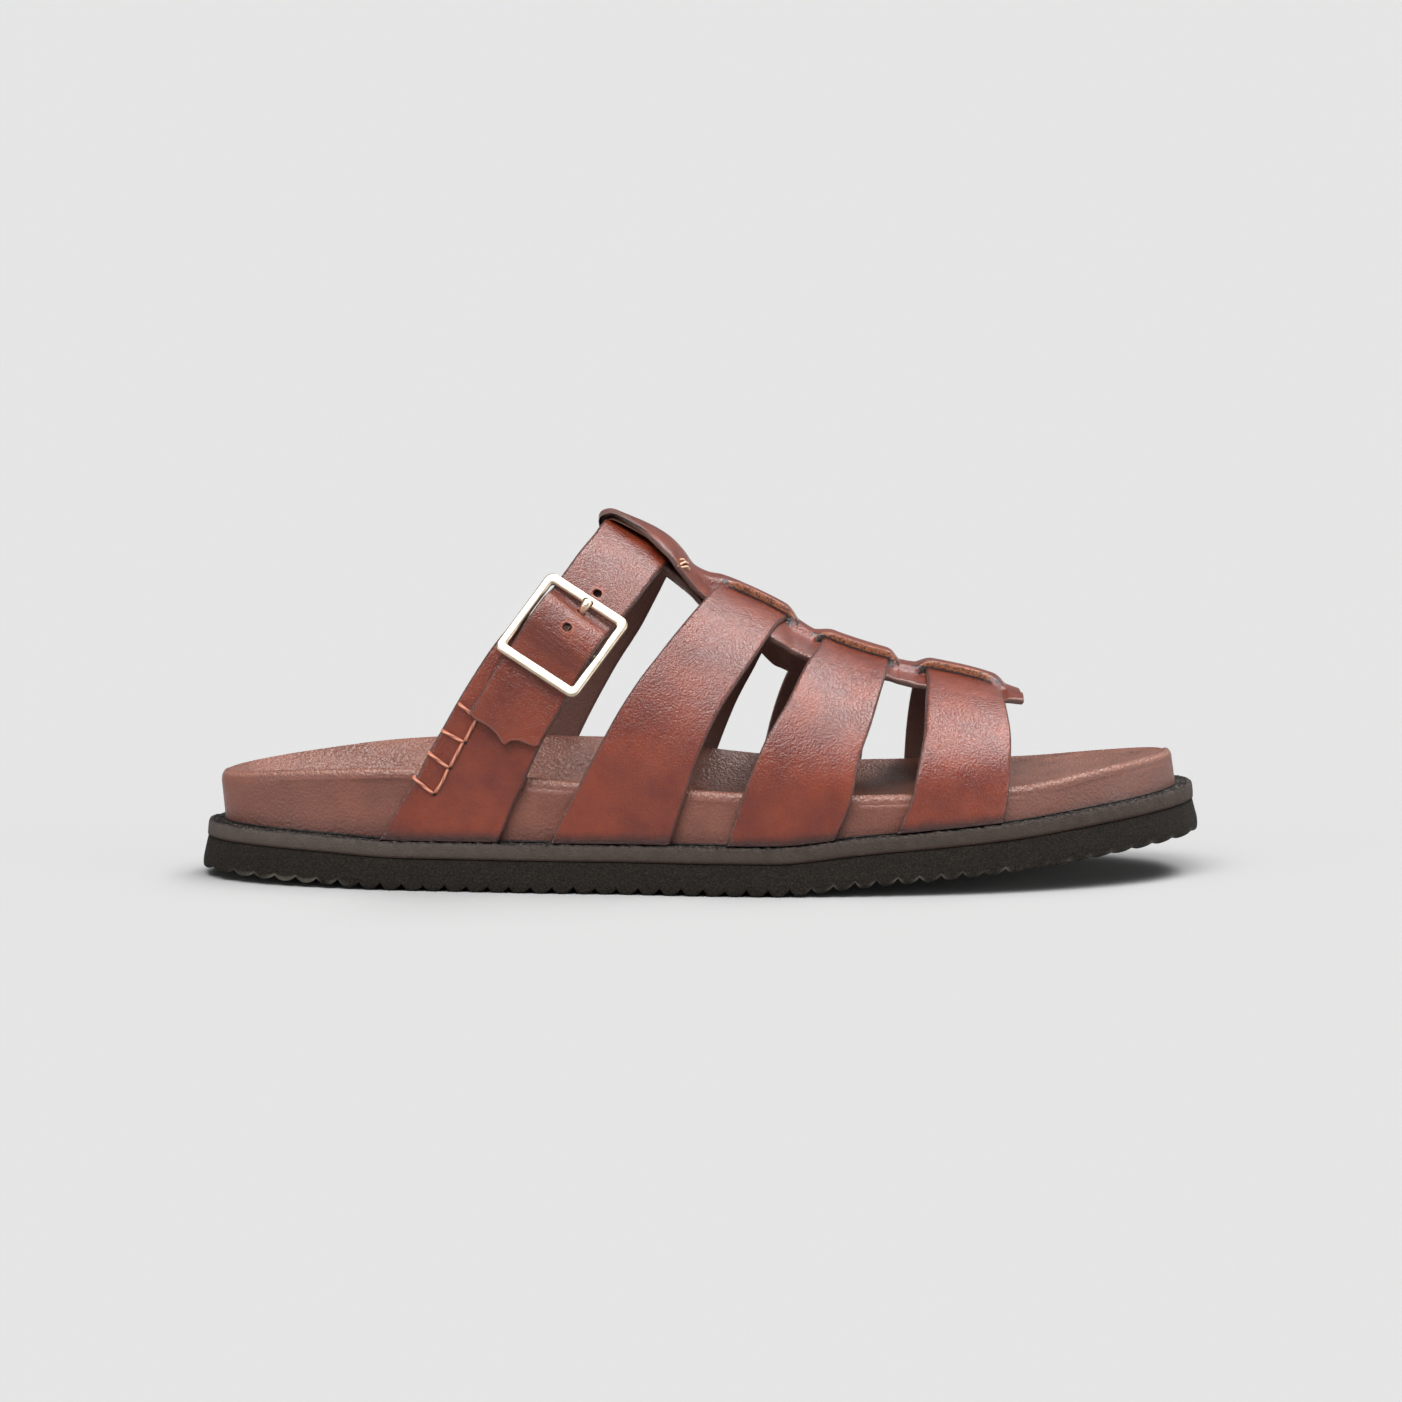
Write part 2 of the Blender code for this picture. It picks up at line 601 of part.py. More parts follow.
# ---- buckle frame: a rounded rectangle with the axle across it ----------
def frame_rings():
    """Rings round the frame's loop: a bar section with chamfered corners."""
    half_out = np.array([FRAME_ACROSS / 2, (BAR_SPAN + FRAME_END_BAR) / 2])
    half_in = np.array([FRAME_OPENING / 2, (BAR_SPAN - FRAME_END_BAR) / 2])
    corner_in = 0.9
    chamfer, half = 0.5, FRAME_THICK / 2
    rings = []
    for corner in range(4):
        sign = np.array([(1, 1), (-1, 1), (-1, -1), (1, -1)][corner])
        for step in range(5):
            angle = math.radians(90 * corner + 22.5 * step)
            ray = np.array([math.cos(angle), math.sin(angle)])
            outer = sign * (half_out - FRAME_CORNER) + ray * FRAME_CORNER
            inner = sign * (half_in - corner_in) + ray * corner_in
            trim = (outer - inner) / np.linalg.norm(outer - inner) * chamfer
            flat = np.array([outer, outer, outer - trim, inner + trim,
                             inner, inner, inner + trim, outer - trim])
            lift = np.array([-1, 1, 0, 0, 1, -1, 0, 0]) * (half - chamfer)
            lift += np.array([0, 0, 1, 1, 0, 0, -1, -1]) * half
            rings.append(buckle_point(flat[:, 0] - FRAME_SHIFT, flat[:, 1], lift))
    return rings


frame = loft("buckle_frame", frame_rings(), metal, endless=True)
combine(frame, pin("axle", 0.0, AXLE_OUT, AXLE_RADIUS, FRAME_ACROSS / 2 - 0.8, 12), "UNION")
NOTCH_DEPTH = 0.9
combine(frame, block("prong notch", (-1.3, 1.3), (-BAR_SPAN / 2 - 3, -BAR_SPAN / 2 + 3),
                     (FRAME_THICK / 2 - NOTCH_DEPTH, 3.0)), "DIFFERENCE")

# ---- buckle prong: an eye on the axle and a bar to the top bar ----------
EYE_RADIUS = LOOP_BORE + PRONG_RADIUS
rest_out = FRAME_THICK / 2 - NOTCH_DEPTH + PRONG_RADIUS + 0.2
eye_turns = np.radians(np.arange(210, 451, 30))
prong_path = [(math.cos(a) * EYE_RADIUS, AXLE_OUT - math.sin(a) * EYE_RADIUS) for a in eye_turns]
prong_path += [
    (-BAR_SPAN / 2 + 6.0, AXLE_OUT - 0.5),
    (-BAR_SPAN / 2 + 4.9, AXLE_OUT + 0.1),
    (-BAR_SPAN / 2 + 2.0, rest_out - 0.3),
    (-BAR_SPAN / 2 + 1.0, rest_out),
    (-BAR_SPAN / 2 - 0.7, rest_out),
]
prong = rod("buckle_prong", prong_path, PRONG_RADIUS, metal)
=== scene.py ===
"""Fisherman sandal for the right foot: the looks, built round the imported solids.

The sections follow the shoe as it is put together, from the floor up: outsole,
midsole, footbed, the four straps, the spine that is woven through them, the
buckle and the hand stitches. The set comes last. Axes: +X to the toe, +Y to
the inner side of the foot, +Z up. Sizes are in millimetres and become metres
when a mesh is made.
"""
import math

import bpy
import numpy as np
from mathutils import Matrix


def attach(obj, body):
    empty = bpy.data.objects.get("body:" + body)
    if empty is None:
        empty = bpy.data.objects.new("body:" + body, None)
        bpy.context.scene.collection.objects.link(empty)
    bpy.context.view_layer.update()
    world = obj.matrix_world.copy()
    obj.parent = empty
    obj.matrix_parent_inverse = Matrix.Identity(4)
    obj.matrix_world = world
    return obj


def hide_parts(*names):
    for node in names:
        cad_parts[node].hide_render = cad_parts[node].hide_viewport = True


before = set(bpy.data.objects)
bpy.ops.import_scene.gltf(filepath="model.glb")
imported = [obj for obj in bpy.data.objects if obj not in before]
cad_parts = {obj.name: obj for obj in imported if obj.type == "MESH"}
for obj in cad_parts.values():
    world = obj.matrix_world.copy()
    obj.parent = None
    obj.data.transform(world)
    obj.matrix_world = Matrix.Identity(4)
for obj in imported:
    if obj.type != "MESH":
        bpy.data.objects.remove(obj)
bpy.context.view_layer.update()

# ---- Outsole ---------------------------------------------------------------
# The outsole is moulded from dark crumb rubber, with ripple teeth that run
# straight across it. Its side flares out towards the teeth. It is glued to the
# midsole band and springs up at the toe and a little at the heel.
MM = 0.001
LENGTH = 290.0
FULLNESS = 2.3            # superellipse power of the heel and toe rounding
OUTSOLE_THICK = 9.1
TOOTH_COUNT = 47
TOOTH_DEPTH = 2.0
FLARE = 1.8

# Sole outline. along, centre line, half width
OUTLINE = np.array([
    (-145, 2.3, 47.0),
    (-100, 1.3, 46.0),
    (-70, -0.7, 43.0),
    (-30, -3.2, 42.5),
    (0, -3.7, 46.0),
    (45, -0.2, 52.5),
    (90, 3.3, 55.5),
    (145, 8.3, 56.0),
])

# Heights along the sole. along, spring, outer rim, inner rim
HEIGHTS = np.array([
    (-145, 2.4, 30.0, 29.5),
    (-110, 1.2, 33.6, 33.5),
    (-85, 0.0, 34.6, 36.0),
    (-65, 0.0, 33.6, 36.9),
    (-30, 0.0, 31.2, 36.5),
    (0, 0.0, 29.5, 33.0),
    (20, 0.0, 28.7, 30.4),
    (45, 2.5, 28.3, 28.3),
    (90, 6.2, 29.8, 29.3),
    (120, 9.9, 34.4, 32.6),
    (145, 12.8, 37.0, 36.8),
])


def unit(vectors):
    """Vectors scaled to length one."""
    return vectors / np.linalg.norm(vectors, axis=-1, keepdims=True)


def around(count):
    """Angles of evenly spaced places round a ring, from half a step."""
    return (np.arange(count) + 0.5) * 2 * math.pi / count


def squared(wave, power):
    """A sine or cosine bent into the side of a superellipse: its sign times |wave| ** (2 / power)."""
    return np.sign(wave) * np.abs(wave) ** (2 / power)


def follow(table, column, x):
    """Smooth reading of a table column at x, with no overshoot.

    Between rows the value is a cubic whose end slopes are the harmonic mean of
    the neighbouring slopes, and level where they change sign.
    """
    knots = table[:, 0].astype(float)
    values = table[:, column].astype(float)
    width = np.diff(knots)
    slope = np.diff(values) / width
    before, after = slope[:-1], slope[1:]
    same = before * after > 0
    safe_before = np.where(same, before, 1.0)
    safe_after = np.where(same, after, 1.0)
    heavy = 2 * width[1:] + width[:-1]
    light = width[1:] + 2 * width[:-1]
    inner = np.where(same, (heavy + light) / (heavy / safe_before + light / safe_after), 0.0)
    tangent = np.concatenate([slope[:1], inner, slope[-1:]])
    x = np.clip(np.asarray(x, float), knots[0], knots[-1])
    k = np.clip(np.searchsorted(knots, x, side="right") - 1, 0, len(width) - 1)
    t = (x - knots[k]) / width[k]
    start = (2 * t**3 - 3 * t**2 + 1) * values[k] + (t**3 - 2 * t**2 + t) * width[k] * tangent[k]
    end = (3 * t**2 - 2 * t**3) * values[k + 1] + (t**3 - t**2) * width[k] * tangent[k + 1]
    return start + end


def outline_y(x, side, inset):
    """Y of the sole outline at x, drawn in by inset; side -1 outer, 1 inner."""
    reach = LENGTH / 2 - inset
    full = (1 - np.clip(np.abs(x / reach), 0, 1) ** FULLNESS) ** (1 / FULLNESS)
    return follow(OUTLINE, 1, x) + side * (follow(OUTLINE, 2, x) - inset) * full


def spring(x):
    """Height of the tooth tips over the floor: heel lift and toe spring."""
    return follow(HEIGHTS, 1, x)


def ripple(position, spacing, seed):
    """Gentle unevenness between -1 and 1: six sine waves in different directions.

    position has the points' places in its last axis and spacing is the wave
    length. The directions and phases come from the seed.
    """
    draw = np.random.default_rng(seed)
    total = 0.0
    for wave in range(6):
        heading = unit(draw.normal(size=position.shape[-1]))
        stretch = spacing * (0.6 + 0.16 * wave)
        total = total + np.sin(position @ heading * 2 * math.pi / stretch + draw.uniform(0, 6.3))
    return total / 3.5


def surface(name, grid, finish, marks=None, endless=False, crease=40):
    """A closed skin through rows of rings of points, shape (rows, ring, 3), in millimetres.

    Each quad joins neighbouring points of two neighbouring rings, and a ring
    joins round on itself. An end is closed by a ladder of quads between its
    ring's two halves. The skin is turned so that the volume it holds is
    positive. marks are values at the points, by name.
    """
    rows, ring = grid.shape[:2]
    index = np.arange(rows * ring).reshape(rows, ring)
    low, high = (index, np.roll(index, -1, 0)) if endless else (index[:-1], index[1:])
    faces = [np.stack([low, np.roll(low, -1, 1), np.roll(high, -1, 1), high], -1).reshape(-1, 4)]
    half = ring // 2
    for end, turn in () if endless else ((index[0], -1), (index[-1], 1)):
        near, far = end[:half], end[::-1][:half]
        ladder = np.stack([near[:-1], near[1:], far[1:], far[:-1]], -1)
        faces.append(ladder[:, ::turn])
    faces = np.concatenate(faces)
    points = grid.reshape(-1, 3)
    a, b, c, d = (points[faces[:, k]] for k in range(4))
    volume = np.sum(a * np.cross(b, c)) + np.sum(a * np.cross(c, d))
    if volume < 0:
        faces = faces[:, ::-1]
    mesh = bpy.data.meshes.new(name)
    mesh.from_pydata((points * MM).tolist(), [], faces.tolist())
    mesh.shade_smooth()
    mesh.set_sharp_from_angle(angle=math.radians(crease))
    for mark, values in (marks or {}).items():
        values = np.broadcast_to(values, grid.shape[:2]).astype(np.float32)
        mesh.attributes.new(mark, "FLOAT", "POINT").data.foreach_set("value", values.ravel())
    mesh.materials.append(finish)
    made = bpy.data.objects.new(name, mesh)
    bpy.context.scene.collection.objects.link(made)
    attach(made, "root")
    return made


def add(tree, kind, inputs=None, **settings):
    """A shader node in the tree. inputs maps sockets to values or to other nodes' sockets."""
    made = tree.nodes.new("ShaderNode" + kind)
    for key, value in settings.items():
        setattr(made, key, value)
    for key, value in (inputs or {}).items():
        if isinstance(value, bpy.types.NodeSocket):
            tree.links.new(value, made.inputs[key])
        else:
            made.inputs[key].default_value = value
    return made


def sums(tree, operation, *values):
    """The result of a Math node."""
    return add(tree, "Math", dict(enumerate(values)), operation=operation).outputs[0]


def times(tree, *values):
    """The product of two values."""
    return sums(tree, "MULTIPLY", *values)


def vectors(tree, operation, *values):
    """The result of a Vector Math node."""
    return add(tree, "VectorMath", dict(enumerate(values)), operation=operation).outputs[0]


def part_of(tree, place, axis):
    """One part of a place: 0 along the shoe, 1 across it, 2 up."""
    return add(tree, "SeparateXYZ", {0: place}).outputs[axis]


def mask(tree, value, low, high):
    """A soft step of value: 0 at low and 1 at high, either way round."""
    return add(tree, "MapRange", {0: value, 1: low, 2: high}, interpolation_type="SMOOTHSTEP").outputs[0]


def mix(tree, share, first, second):
    """A colour from first to second by share."""
    return add(tree, "Mix", {0: share, 6: first, 7: second}, data_type="RGBA").outputs[2]


def tint(tree, colour, share, strength, shade):
    """The colour turned towards a shade by share times strength."""
    return mix(tree, times(tree, share, strength), colour, shade)


def paint(red, green, blue):
    """A linear colour from a screen colour of 0 to 255."""
    part = np.array([red, green, blue]) / 255
    linear = np.where(part <= 0.04045, part / 12.92, ((part + 0.055) / 1.055) ** 2.4)
    return (*linear.tolist(), 1.0)


def millimetres(tree):
    """A point's place on the shoe, in millimetres."""
    place = add(tree, "TexCoord").outputs["Object"]
    return add(tree, "VectorMath", {0: place, "Scale": 1 / MM}, operation="SCALE").outputs[0]


def mark(tree, name):
    """A value that surface() stored at the points."""
    return add(tree, "Attribute", attribute_name=name).outputs["Fac"]


def noise(tree, place, size, detail=2.0, rough=0.5):
    """Noise from 0 to 1 with blobs of a size in millimetres."""
    return add(tree, "TexNoise", {"Vector": place, "Scale": 1 / size, "Detail": detail,
                                  "Roughness": rough}).outputs["Fac"]


def scaled_to(tree, place, size):
    """A place measured in steps of a size."""
    sizes = add(tree, "CombineXYZ", {0: size, 1: size, 2: size}).outputs[0]
    return vectors(tree, "DIVIDE", place, sizes)


def group(name, inputs, outputs):
    """An empty shader group, its input node and its output node.

    inputs are (name, kind, value) and outputs are (name, kind).
    """
    tree = bpy.data.node_groups.new(name, "ShaderNodeTree")
    for title, kind, value in inputs:
        socket = tree.interface.new_socket(title, in_out="INPUT", socket_type="NodeSocket" + kind)
        socket.default_value = value
    for title, kind in outputs:
        tree.interface.new_socket(title, in_out="OUTPUT", socket_type="NodeSocket" + kind)
    return tree, tree.nodes.new("NodeGroupInput").outputs, tree.nodes.new("NodeGroupOutput").inputs


def use(tree, effect, **values):
    """An effect group placed in a material with its own values; returns its outputs."""
    made = tree.nodes.new("ShaderNodeGroup")
    made.node_tree = effect
    for key, value in values.items():
        socket = made.inputs[key.replace("_", " ")]
        if isinstance(value, bpy.types.NodeSocket):
            tree.links.new(value, socket)
        else:
            socket.default_value = value
    return made.outputs


def finish_of(name, **plain):
    """A new material: its node tree and its Principled shader with plain values set."""
    made = bpy.data.materials.new(name)
    made.use_nodes = True
    shader = made.node_tree.nodes["Principled BSDF"]
    for key, value in plain.items():
        shader.inputs[key.replace("_", " ")].default_value = value
    return made, made.node_tree, shader


def dress(tree, shader, colour, roughness=None, height=None, depth=0.1):
    """Links a material's colour, roughness and relief; depth is the relief in millimetres."""
    tree.links.new(colour, shader.inputs["Base Color"])
    if roughness is not None:
        tree.links.new(roughness, shader.inputs["Roughness"])
    if height is not None:
        bump = add(tree, "Bump", {"Strength": 1.0, "Distance": depth * MM, "Height": height})
        tree.links.new(bump.outputs[0], shader.inputs["Normal"])


# Rubber crumb: rounded grains of two sizes pressed together, with pale dust in
# the dips between some of them.
crumb, crumb_in, crumb_out = group(
    "crumb",
    [("Place", "Vector", (0, 0, 0)), ("Size", "Float", 1.0), ("Dust", "Float", 0.5)],
    [("Height", "Float"), ("Dust", "Float"), ("Tone", "Float")])
scaled = scaled_to(crumb, crumb_in["Place"], crumb_in["Size"])
grains = add(crumb, "TexVoronoi", {"Vector": scaled, "Scale": 1.0, "Randomness": 1.0}, feature="SMOOTH_F1")
fine = noise(crumb, scaled, 0.35, 3.0, 0.6)
lumps = noise(crumb, scaled, 3.0, 2.0)
relief = sums(crumb, "SUBTRACT", fine, grains.outputs["Distance"])
relief = sums(crumb, "ADD", relief, lumps)
crumb.links.new(relief, crumb_out["Height"])
speck = mask(crumb, noise(crumb, scaled, 0.8, 2.0), 0.62, 0.72)
crumb.links.new(sums(crumb, "MULTIPLY", speck, crumb_in["Dust"]), crumb_out["Dust"])
crumb.links.new(noise(crumb, scaled, 9.0, 3.0), crumb_out["Tone"])

rubber, tree, shader = finish_of("outsole_rubber", Specular_IOR_Level=0.2, Roughness=0.85)
place = millimetres(tree)
effect = use(tree, crumb, Place=place, Size=0.55, Dust=0.45)
grit = mask(tree, noise(tree, place, 0.5, 3.0, 0.7), 0.38, 0.64)
colour = mix(tree, grit, paint(13, 10, 8), paint(38, 32, 25))
colour = mix(tree, effect["Dust"], colour, paint(70, 63, 53))
# The tooth flanks by the notches and the bevel under the heel are painted paler: a painted highlight on faces
# that catch the light.
painted_facet_light = times(tree, mark(tree, "painted_facet_light"), mask(tree, effect["Tone"], 0.25, 0.55))
colour = tint(tree, colour, painted_facet_light, 0.7, paint(106, 101, 92))
dress(tree, shader, colour, None, effect["Height"], 0.30)


def sole_stations(extra=()):
    """Stations along the sole, closer together at the heel and toe, with more where asked."""
    bend = np.cos(np.linspace(0.004, 0.996, 240) * math.pi)
    even = -squared(bend, FULLNESS)
    share = np.unique(np.round(np.concatenate([even, np.asarray(extra) / (LENGTH / 2)]), 6))
    return share[np.abs(share) < 0.99999]


def sole_ring(share, inset):
    """Points round the sole at shares of its half length: heel to toe, then back.

    Returns x, y and the side of each point, -1 outer and 1 inner.
    """
    x = share * (LENGTH / 2 - inset)
    both = np.concatenate([x, x[::-1]])
    side = np.concatenate([-np.ones(len(x)), np.ones(len(x))])
    return both, outline_y(both, side, inset), side


NOTCH_AT = 0.60           # place of a notch along its tooth
tooth_depth = TOOTH_DEPTH * np.random.default_rng(12).uniform(0.75, 1.05, TOOTH_COUNT + 1)


def tooth_rise(x):
    """How far the tooth profile rises at x: a rounded tip between two pointed notches."""
    tooth = np.clip((x / LENGTH + 0.5) * TOOTH_COUNT, 0, TOOTH_COUNT - 0.001)
    phase = tooth % 1.0
    flank = np.where(phase < NOTCH_AT, 1 - phase / NOTCH_AT, (phase - NOTCH_AT) / (1 - NOTCH_AT))
    shallow = 1 - 0.68 * np.clip((x - 70) / 35, 0, 1) - 0.35 * np.clip((-x - 105) / 30, 0, 1)
    return tooth_depth[tooth.astype(int)] * (1 - flank) ** 2.2 * shallow


tooth_phases = np.array([0.0, 0.12, 0.24, 0.34, 0.42, 0.49, 0.54, 0.57, 0.60, 0.62, 0.65, 0.70, 0.78, 0.88])
tooth_share = ((np.arange(TOOTH_COUNT)[:, None] + tooth_phases) / TOOTH_COUNT).ravel()
share = sole_stations((tooth_share - 0.5) * LENGTH)
rings, facet_light_marks = [], []
for inset, height, teeth, facet_light_weight in ((0.15, 0.0, 1.0, 1.0), (-0.05, 0.2, 1.0, 1.0), (-0.15, 0.8, 0.85, 0.6),
                                   (-0.15, 1.6, 0.45, 0.0), (0.0, 3.0, 0.1, 0.0), (0.4, 4.8, 0.0, 0.0),
                                   (0.9, 6.8, 0.0, 0.0), (1.3, 8.4, 0.0, 0.0), (1.5, 9.0, 0.0, 0.0),
                                   (2.0, OUTSOLE_THICK, 0.0, 0.0)):
    x, y, side = sole_ring(share, inset)
    z = spring(x) + height + tooth_rise(x) * teeth
    wobble = ripple(np.stack([x, y, z], -1), 9.0, 3)[:, None] * 0.10
    out = np.stack([np.sign(x) * (np.abs(x / (LENGTH / 2)) ** 8), side, 0 * x], -1)
    rings.append(np.stack([x, y, z], -1) + wobble * out)
    # Where the painted highlight goes: the tooth flanks by the notches and the bevel under the heel.
    notch = np.clip(tooth_rise(x) / TOOTH_DEPTH * 2.2, 0, 1) * np.clip((x - 25) / 15, 0, 1)
    heel = np.clip((-x - 100) / 8, 0, 1) * np.clip((138 + x) / 8, 0, 1)
    facet_light_marks.append(facet_light_weight * np.maximum(notch, heel))
outsole = surface("outsole_rubber_body", np.array(rings), rubber, {"painted_facet_light": np.array(facet_light_marks)}, crease=40)
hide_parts("outsole")

# ---- Midsole ---------------------------------------------------------------
# A band of grey-brown bonded board between the outsole and the footbed. Its side
# is ground flush with the outsole's top edge, which leaves it ragged, and its
# ledge carries dark cement and rubber crumbs along the foot of the straps.
MIDSOLE_TOP = 13.8
SEAM = 0.25               # the glue line between stacked layers

board, tree, shader = finish_of("midsole_board", Specular_IOR_Level=0.3, Roughness=0.85)
place = millimetres(tree)
effect = use(tree, crumb, Place=place, Size=0.45, Dust=0.5)
to_heel = mask(tree, part_of(tree, place, 0), 60.0, -150.0)
colour = mix(tree, effect["Tone"], paint(46, 38, 34), paint(70, 60, 54))
colour = tint(tree, colour, to_heel, 0.22, paint(106, 98, 92))
colour = mix(tree, effect["Dust"], colour, paint(92, 83, 76))
colour = tint(tree, colour, mark(tree, "joint"), 0.75, paint(52, 33, 24))
ledge = mark(tree, "ledge")
crumbs = mask(tree, noise(tree, place, 0.8, 3.0, 0.6), 0.50, 0.66)
ledge_tone = mix(tree, crumbs, paint(13, 10, 9), paint(84, 75, 68))
colour = mix(tree, ledge, colour, ledge_tone)
dress(tree, shader, colour, None, effect["Height"], 0.22)

share = sole_stations(np.arange(-140, 141, 0.4))
rings, ledge_marks, joint_marks = [], [], []
for inset, height, on_ledge, at_joint, rough in (
        (3.2, OUTSOLE_THICK + 0.05, 0, 1, 0.0), (1.6, OUTSOLE_THICK + 0.10, 0, 1, 0.05),
        (1.2, OUTSOLE_THICK + 0.35, 0, 1, 0.10), (1.2, 10.1, 0, 0.3, 0.12), (1.25, 11.2, 0, 0, 0.12),
        (1.35, 12.3, 0, 0, 0.15), (1.45, 13.0, 0, 0, 0.22), (1.6, 13.45, 0.2, 0, 0.40),
        (2.3, MIDSOLE_TOP - 0.1, 0.8, 0, 0.50), (3.0, MIDSOLE_TOP - 0.05, 1, 0, 0.50),
        (4.0, MIDSOLE_TOP - 0.15, 1, 0, 0.45), (5.2, MIDSOLE_TOP - 0.1, 1, 0, 0.45),
        (6.3, MIDSOLE_TOP, 1, 0, 0.2), (8.0, MIDSOLE_TOP, 1, 0, 0.0)):
    x, y, side = sole_ring(share, inset)
    ring = np.stack([x, y, spring(x) + height], -1)
    push = ripple(ring, 1.9, 5) + 0.6 * ripple(ring, 11.0, 6)
    lift = ripple(ring, 1.5, 7) + 0.6 * ripple(ring, 5.0, 8)
    ring[:, 1] += side * push * rough * 0.5 * (np.abs(x) < np.abs(x).max())
    ring[:, 2] += lift * rough * 0.6 * (height > 12.5)
    rings.append(ring)
    ledge_marks.append(np.full(len(x), on_ledge))
    joint_marks.append(np.full(len(x), at_joint))
midsole = surface("midsole_band", np.array(rings), board,
                  {"ledge": np.array(ledge_marks), "joint": np.array(joint_marks)}, crease=60)
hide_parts("midsole")

# ---- Footbed ---------------------------------------------------------------
# A shaped cork core wrapped in one dusty brown hide. The hide is drawn down over
# the rounded rim and glued along the foot of the wall, where it is faintly
# creased up and down. Its grain is pebbled inside the dish.
FOOTBED_INSET = 6.4
HEEL_LEAN = 1.2
TOE_LEAN = -1.0
BED_DISH = 8.0


def rim_height(x, side):
    """Height of the footbed rim on either side."""
    return np.where(side < 0, follow(HEIGHTS, 2, x), follow(HEIGHTS, 3, x))


def wall_lean(x):
    """How far the footbed rim stands out past its foot."""
    return HEEL_LEAN + (x / LENGTH + 0.5) * (TOE_LEAN - HEEL_LEAN)


# Leather grain: pores and fine creases between soft pebbles, and slow mottling
# of the dye. Height is the relief and Tone the depth of the dye.
grain, grain_in, grain_out = group(
    "leather grain",
    [("Place", "Vector", (0, 0, 0)), ("Pebble", "Float", 1.0), ("Pebbling", "Float", 0.5)],
    [("Height", "Float"), ("Tone", "Float"), ("Pits", "Float")])
scaled = scaled_to(grain, grain_in["Place"], grain_in["Pebble"])
warp = add(grain, "TexNoise", {"Vector": scaled, "Scale": 0.7, "Detail": 2.0})
bent = vectors(grain, "MULTIPLY_ADD", warp.outputs["Color"], (1.4, 1.4, 1.4), scaled)
cells = add(grain, "TexVoronoi", {"Vector": bent, "Scale": 1.0, "Smoothness": 0.6}, feature="SMOOTH_F1")
pebbles = sums(grain, "MULTIPLY", sums(grain, "SUBTRACT", 0.6, cells.outputs["Distance"]),
               grain_in["Pebbling"])
pores = mask(grain, noise(grain, scaled, 0.30, 2.0), 0.36, 0.50)
soft = noise(grain, scaled, 4.5, 3.0)
relief = sums(grain, "ADD", sums(grain, "MULTIPLY", pores, 0.22), pebbles)
relief = sums(grain, "ADD", relief, sums(grain, "MULTIPLY", soft, 0.5))
grain.links.new(relief, grain_out["Height"])
grain.links.new(noise(grain, grain_in["Place"], 13.0, 4.0, 0.62), grain_out["Tone"])
grain.links.new(pores, grain_out["Pits"])

wrap, tree, shader = finish_of("footbed_leather", Specular_IOR_Level=0.75)
place = millimetres(tree)
effect = use(tree, grain, Place=place, Pebble=0.85, Pebbling=1.2)
wall = mark(tree, "wall")
streaks = noise(tree, vectors(tree, "MULTIPLY", place, (1.0, 1.0, 0.10)), 1.2, 3.0, 0.6)
tone = mask(tree, effect["Tone"], 0.30, 0.70)
inside = mix(tree, tone, paint(98, 53, 38), paint(120, 71, 54))
outside = mix(tree, tone, paint(99, 50, 35), paint(114, 61, 44))
# The outer wall is painted darker towards the toe: painted shade.
to_toe = mask(tree, part_of(tree, place, 0), 40.0, 125.0)
outside = tint(tree, outside, to_toe, 0.45, paint(84, 46, 34))
outside = tint(tree, outside, mask(tree, streaks, 0.45, 0.8), 0.14, paint(128, 84, 70))
colour = mix(tree, wall, inside, outside)
# The wall is painted darker towards its foot and near black at the very foot, where it meets the ledge:
# painted shade.
foot = mark(tree, "foot")
colour = tint(tree, colour, mask(tree, foot, 0.0, 1.0), 0.65, paint(70, 32, 22))
colour = mix(tree, mask(tree, foot, 0.86, 0.97), colour, paint(20, 13, 11))
# A pale band painted along the rim: a painted highlight.
colour = tint(tree, colour, mark(tree, "rim"), 0.5, paint(152, 108, 92))
height = times(tree, effect["Height"], sums(tree, "MULTIPLY_ADD", wall, -0.7, 1.0))
height = sums(tree, "MULTIPLY_ADD", streaks, times(tree, wall, 0.2), height)
rough = sums(tree, "MULTIPLY_ADD", wall, 0.10, mask(tree, effect["Tone"], -0.4, 1.75))
dress(tree, shader, colour, rough, height, 0.38)


def footbed_ring(inset, rise, toward_bed, turn):
    """A ring inside the outline at angles round it. toward_bed is 0 at the rim and 1 on the bed."""
    bend, side = np.cos(turn), np.where(turn < math.pi, 1, -1)
    lean = wall_lean(np.sign(bend) * LENGTH / 2 * np.abs(bend))
    reach = LENGTH / 2 - FOOTBED_INSET + lean - inset
    x = squared(bend, FULLNESS) * reach
    half = follow(OUTLINE, 2, x) - FOOTBED_INSET + lean - inset
    y = follow(OUTLINE, 1, x) + side * half * np.abs(np.sin(turn)) ** (2 / FULLNESS)
    rim = rim_height(x, side) + rise
    bed = spring(x) + MIDSOLE_TOP + BED_DISH
    return np.stack([x, y, rim + (bed - rim) * toward_bed], -1)


turn = around(560)
foot_ring = footbed_ring(0.0, 0.0, 0.0, turn)
foot_ring[:, 0] *= 1 - wall_lean(foot_ring[:, 0]) * np.abs(foot_ring[:, 0]) / (LENGTH / 2) ** 2
foot_ring[:, 2] = spring(foot_ring[:, 0]) + MIDSOLE_TOP + SEAM
foot_side = np.where(turn < math.pi, 1, -1)
foot_ring[:, 1] = outline_y(foot_ring[:, 0], foot_side, FOOTBED_INSET)
shoulder = footbed_ring(0.1, -3.0, 0.0, turn)
rings = [foot_ring + (shoulder - foot_ring) * part for part in np.linspace(0, 1, 12)[:-1]]
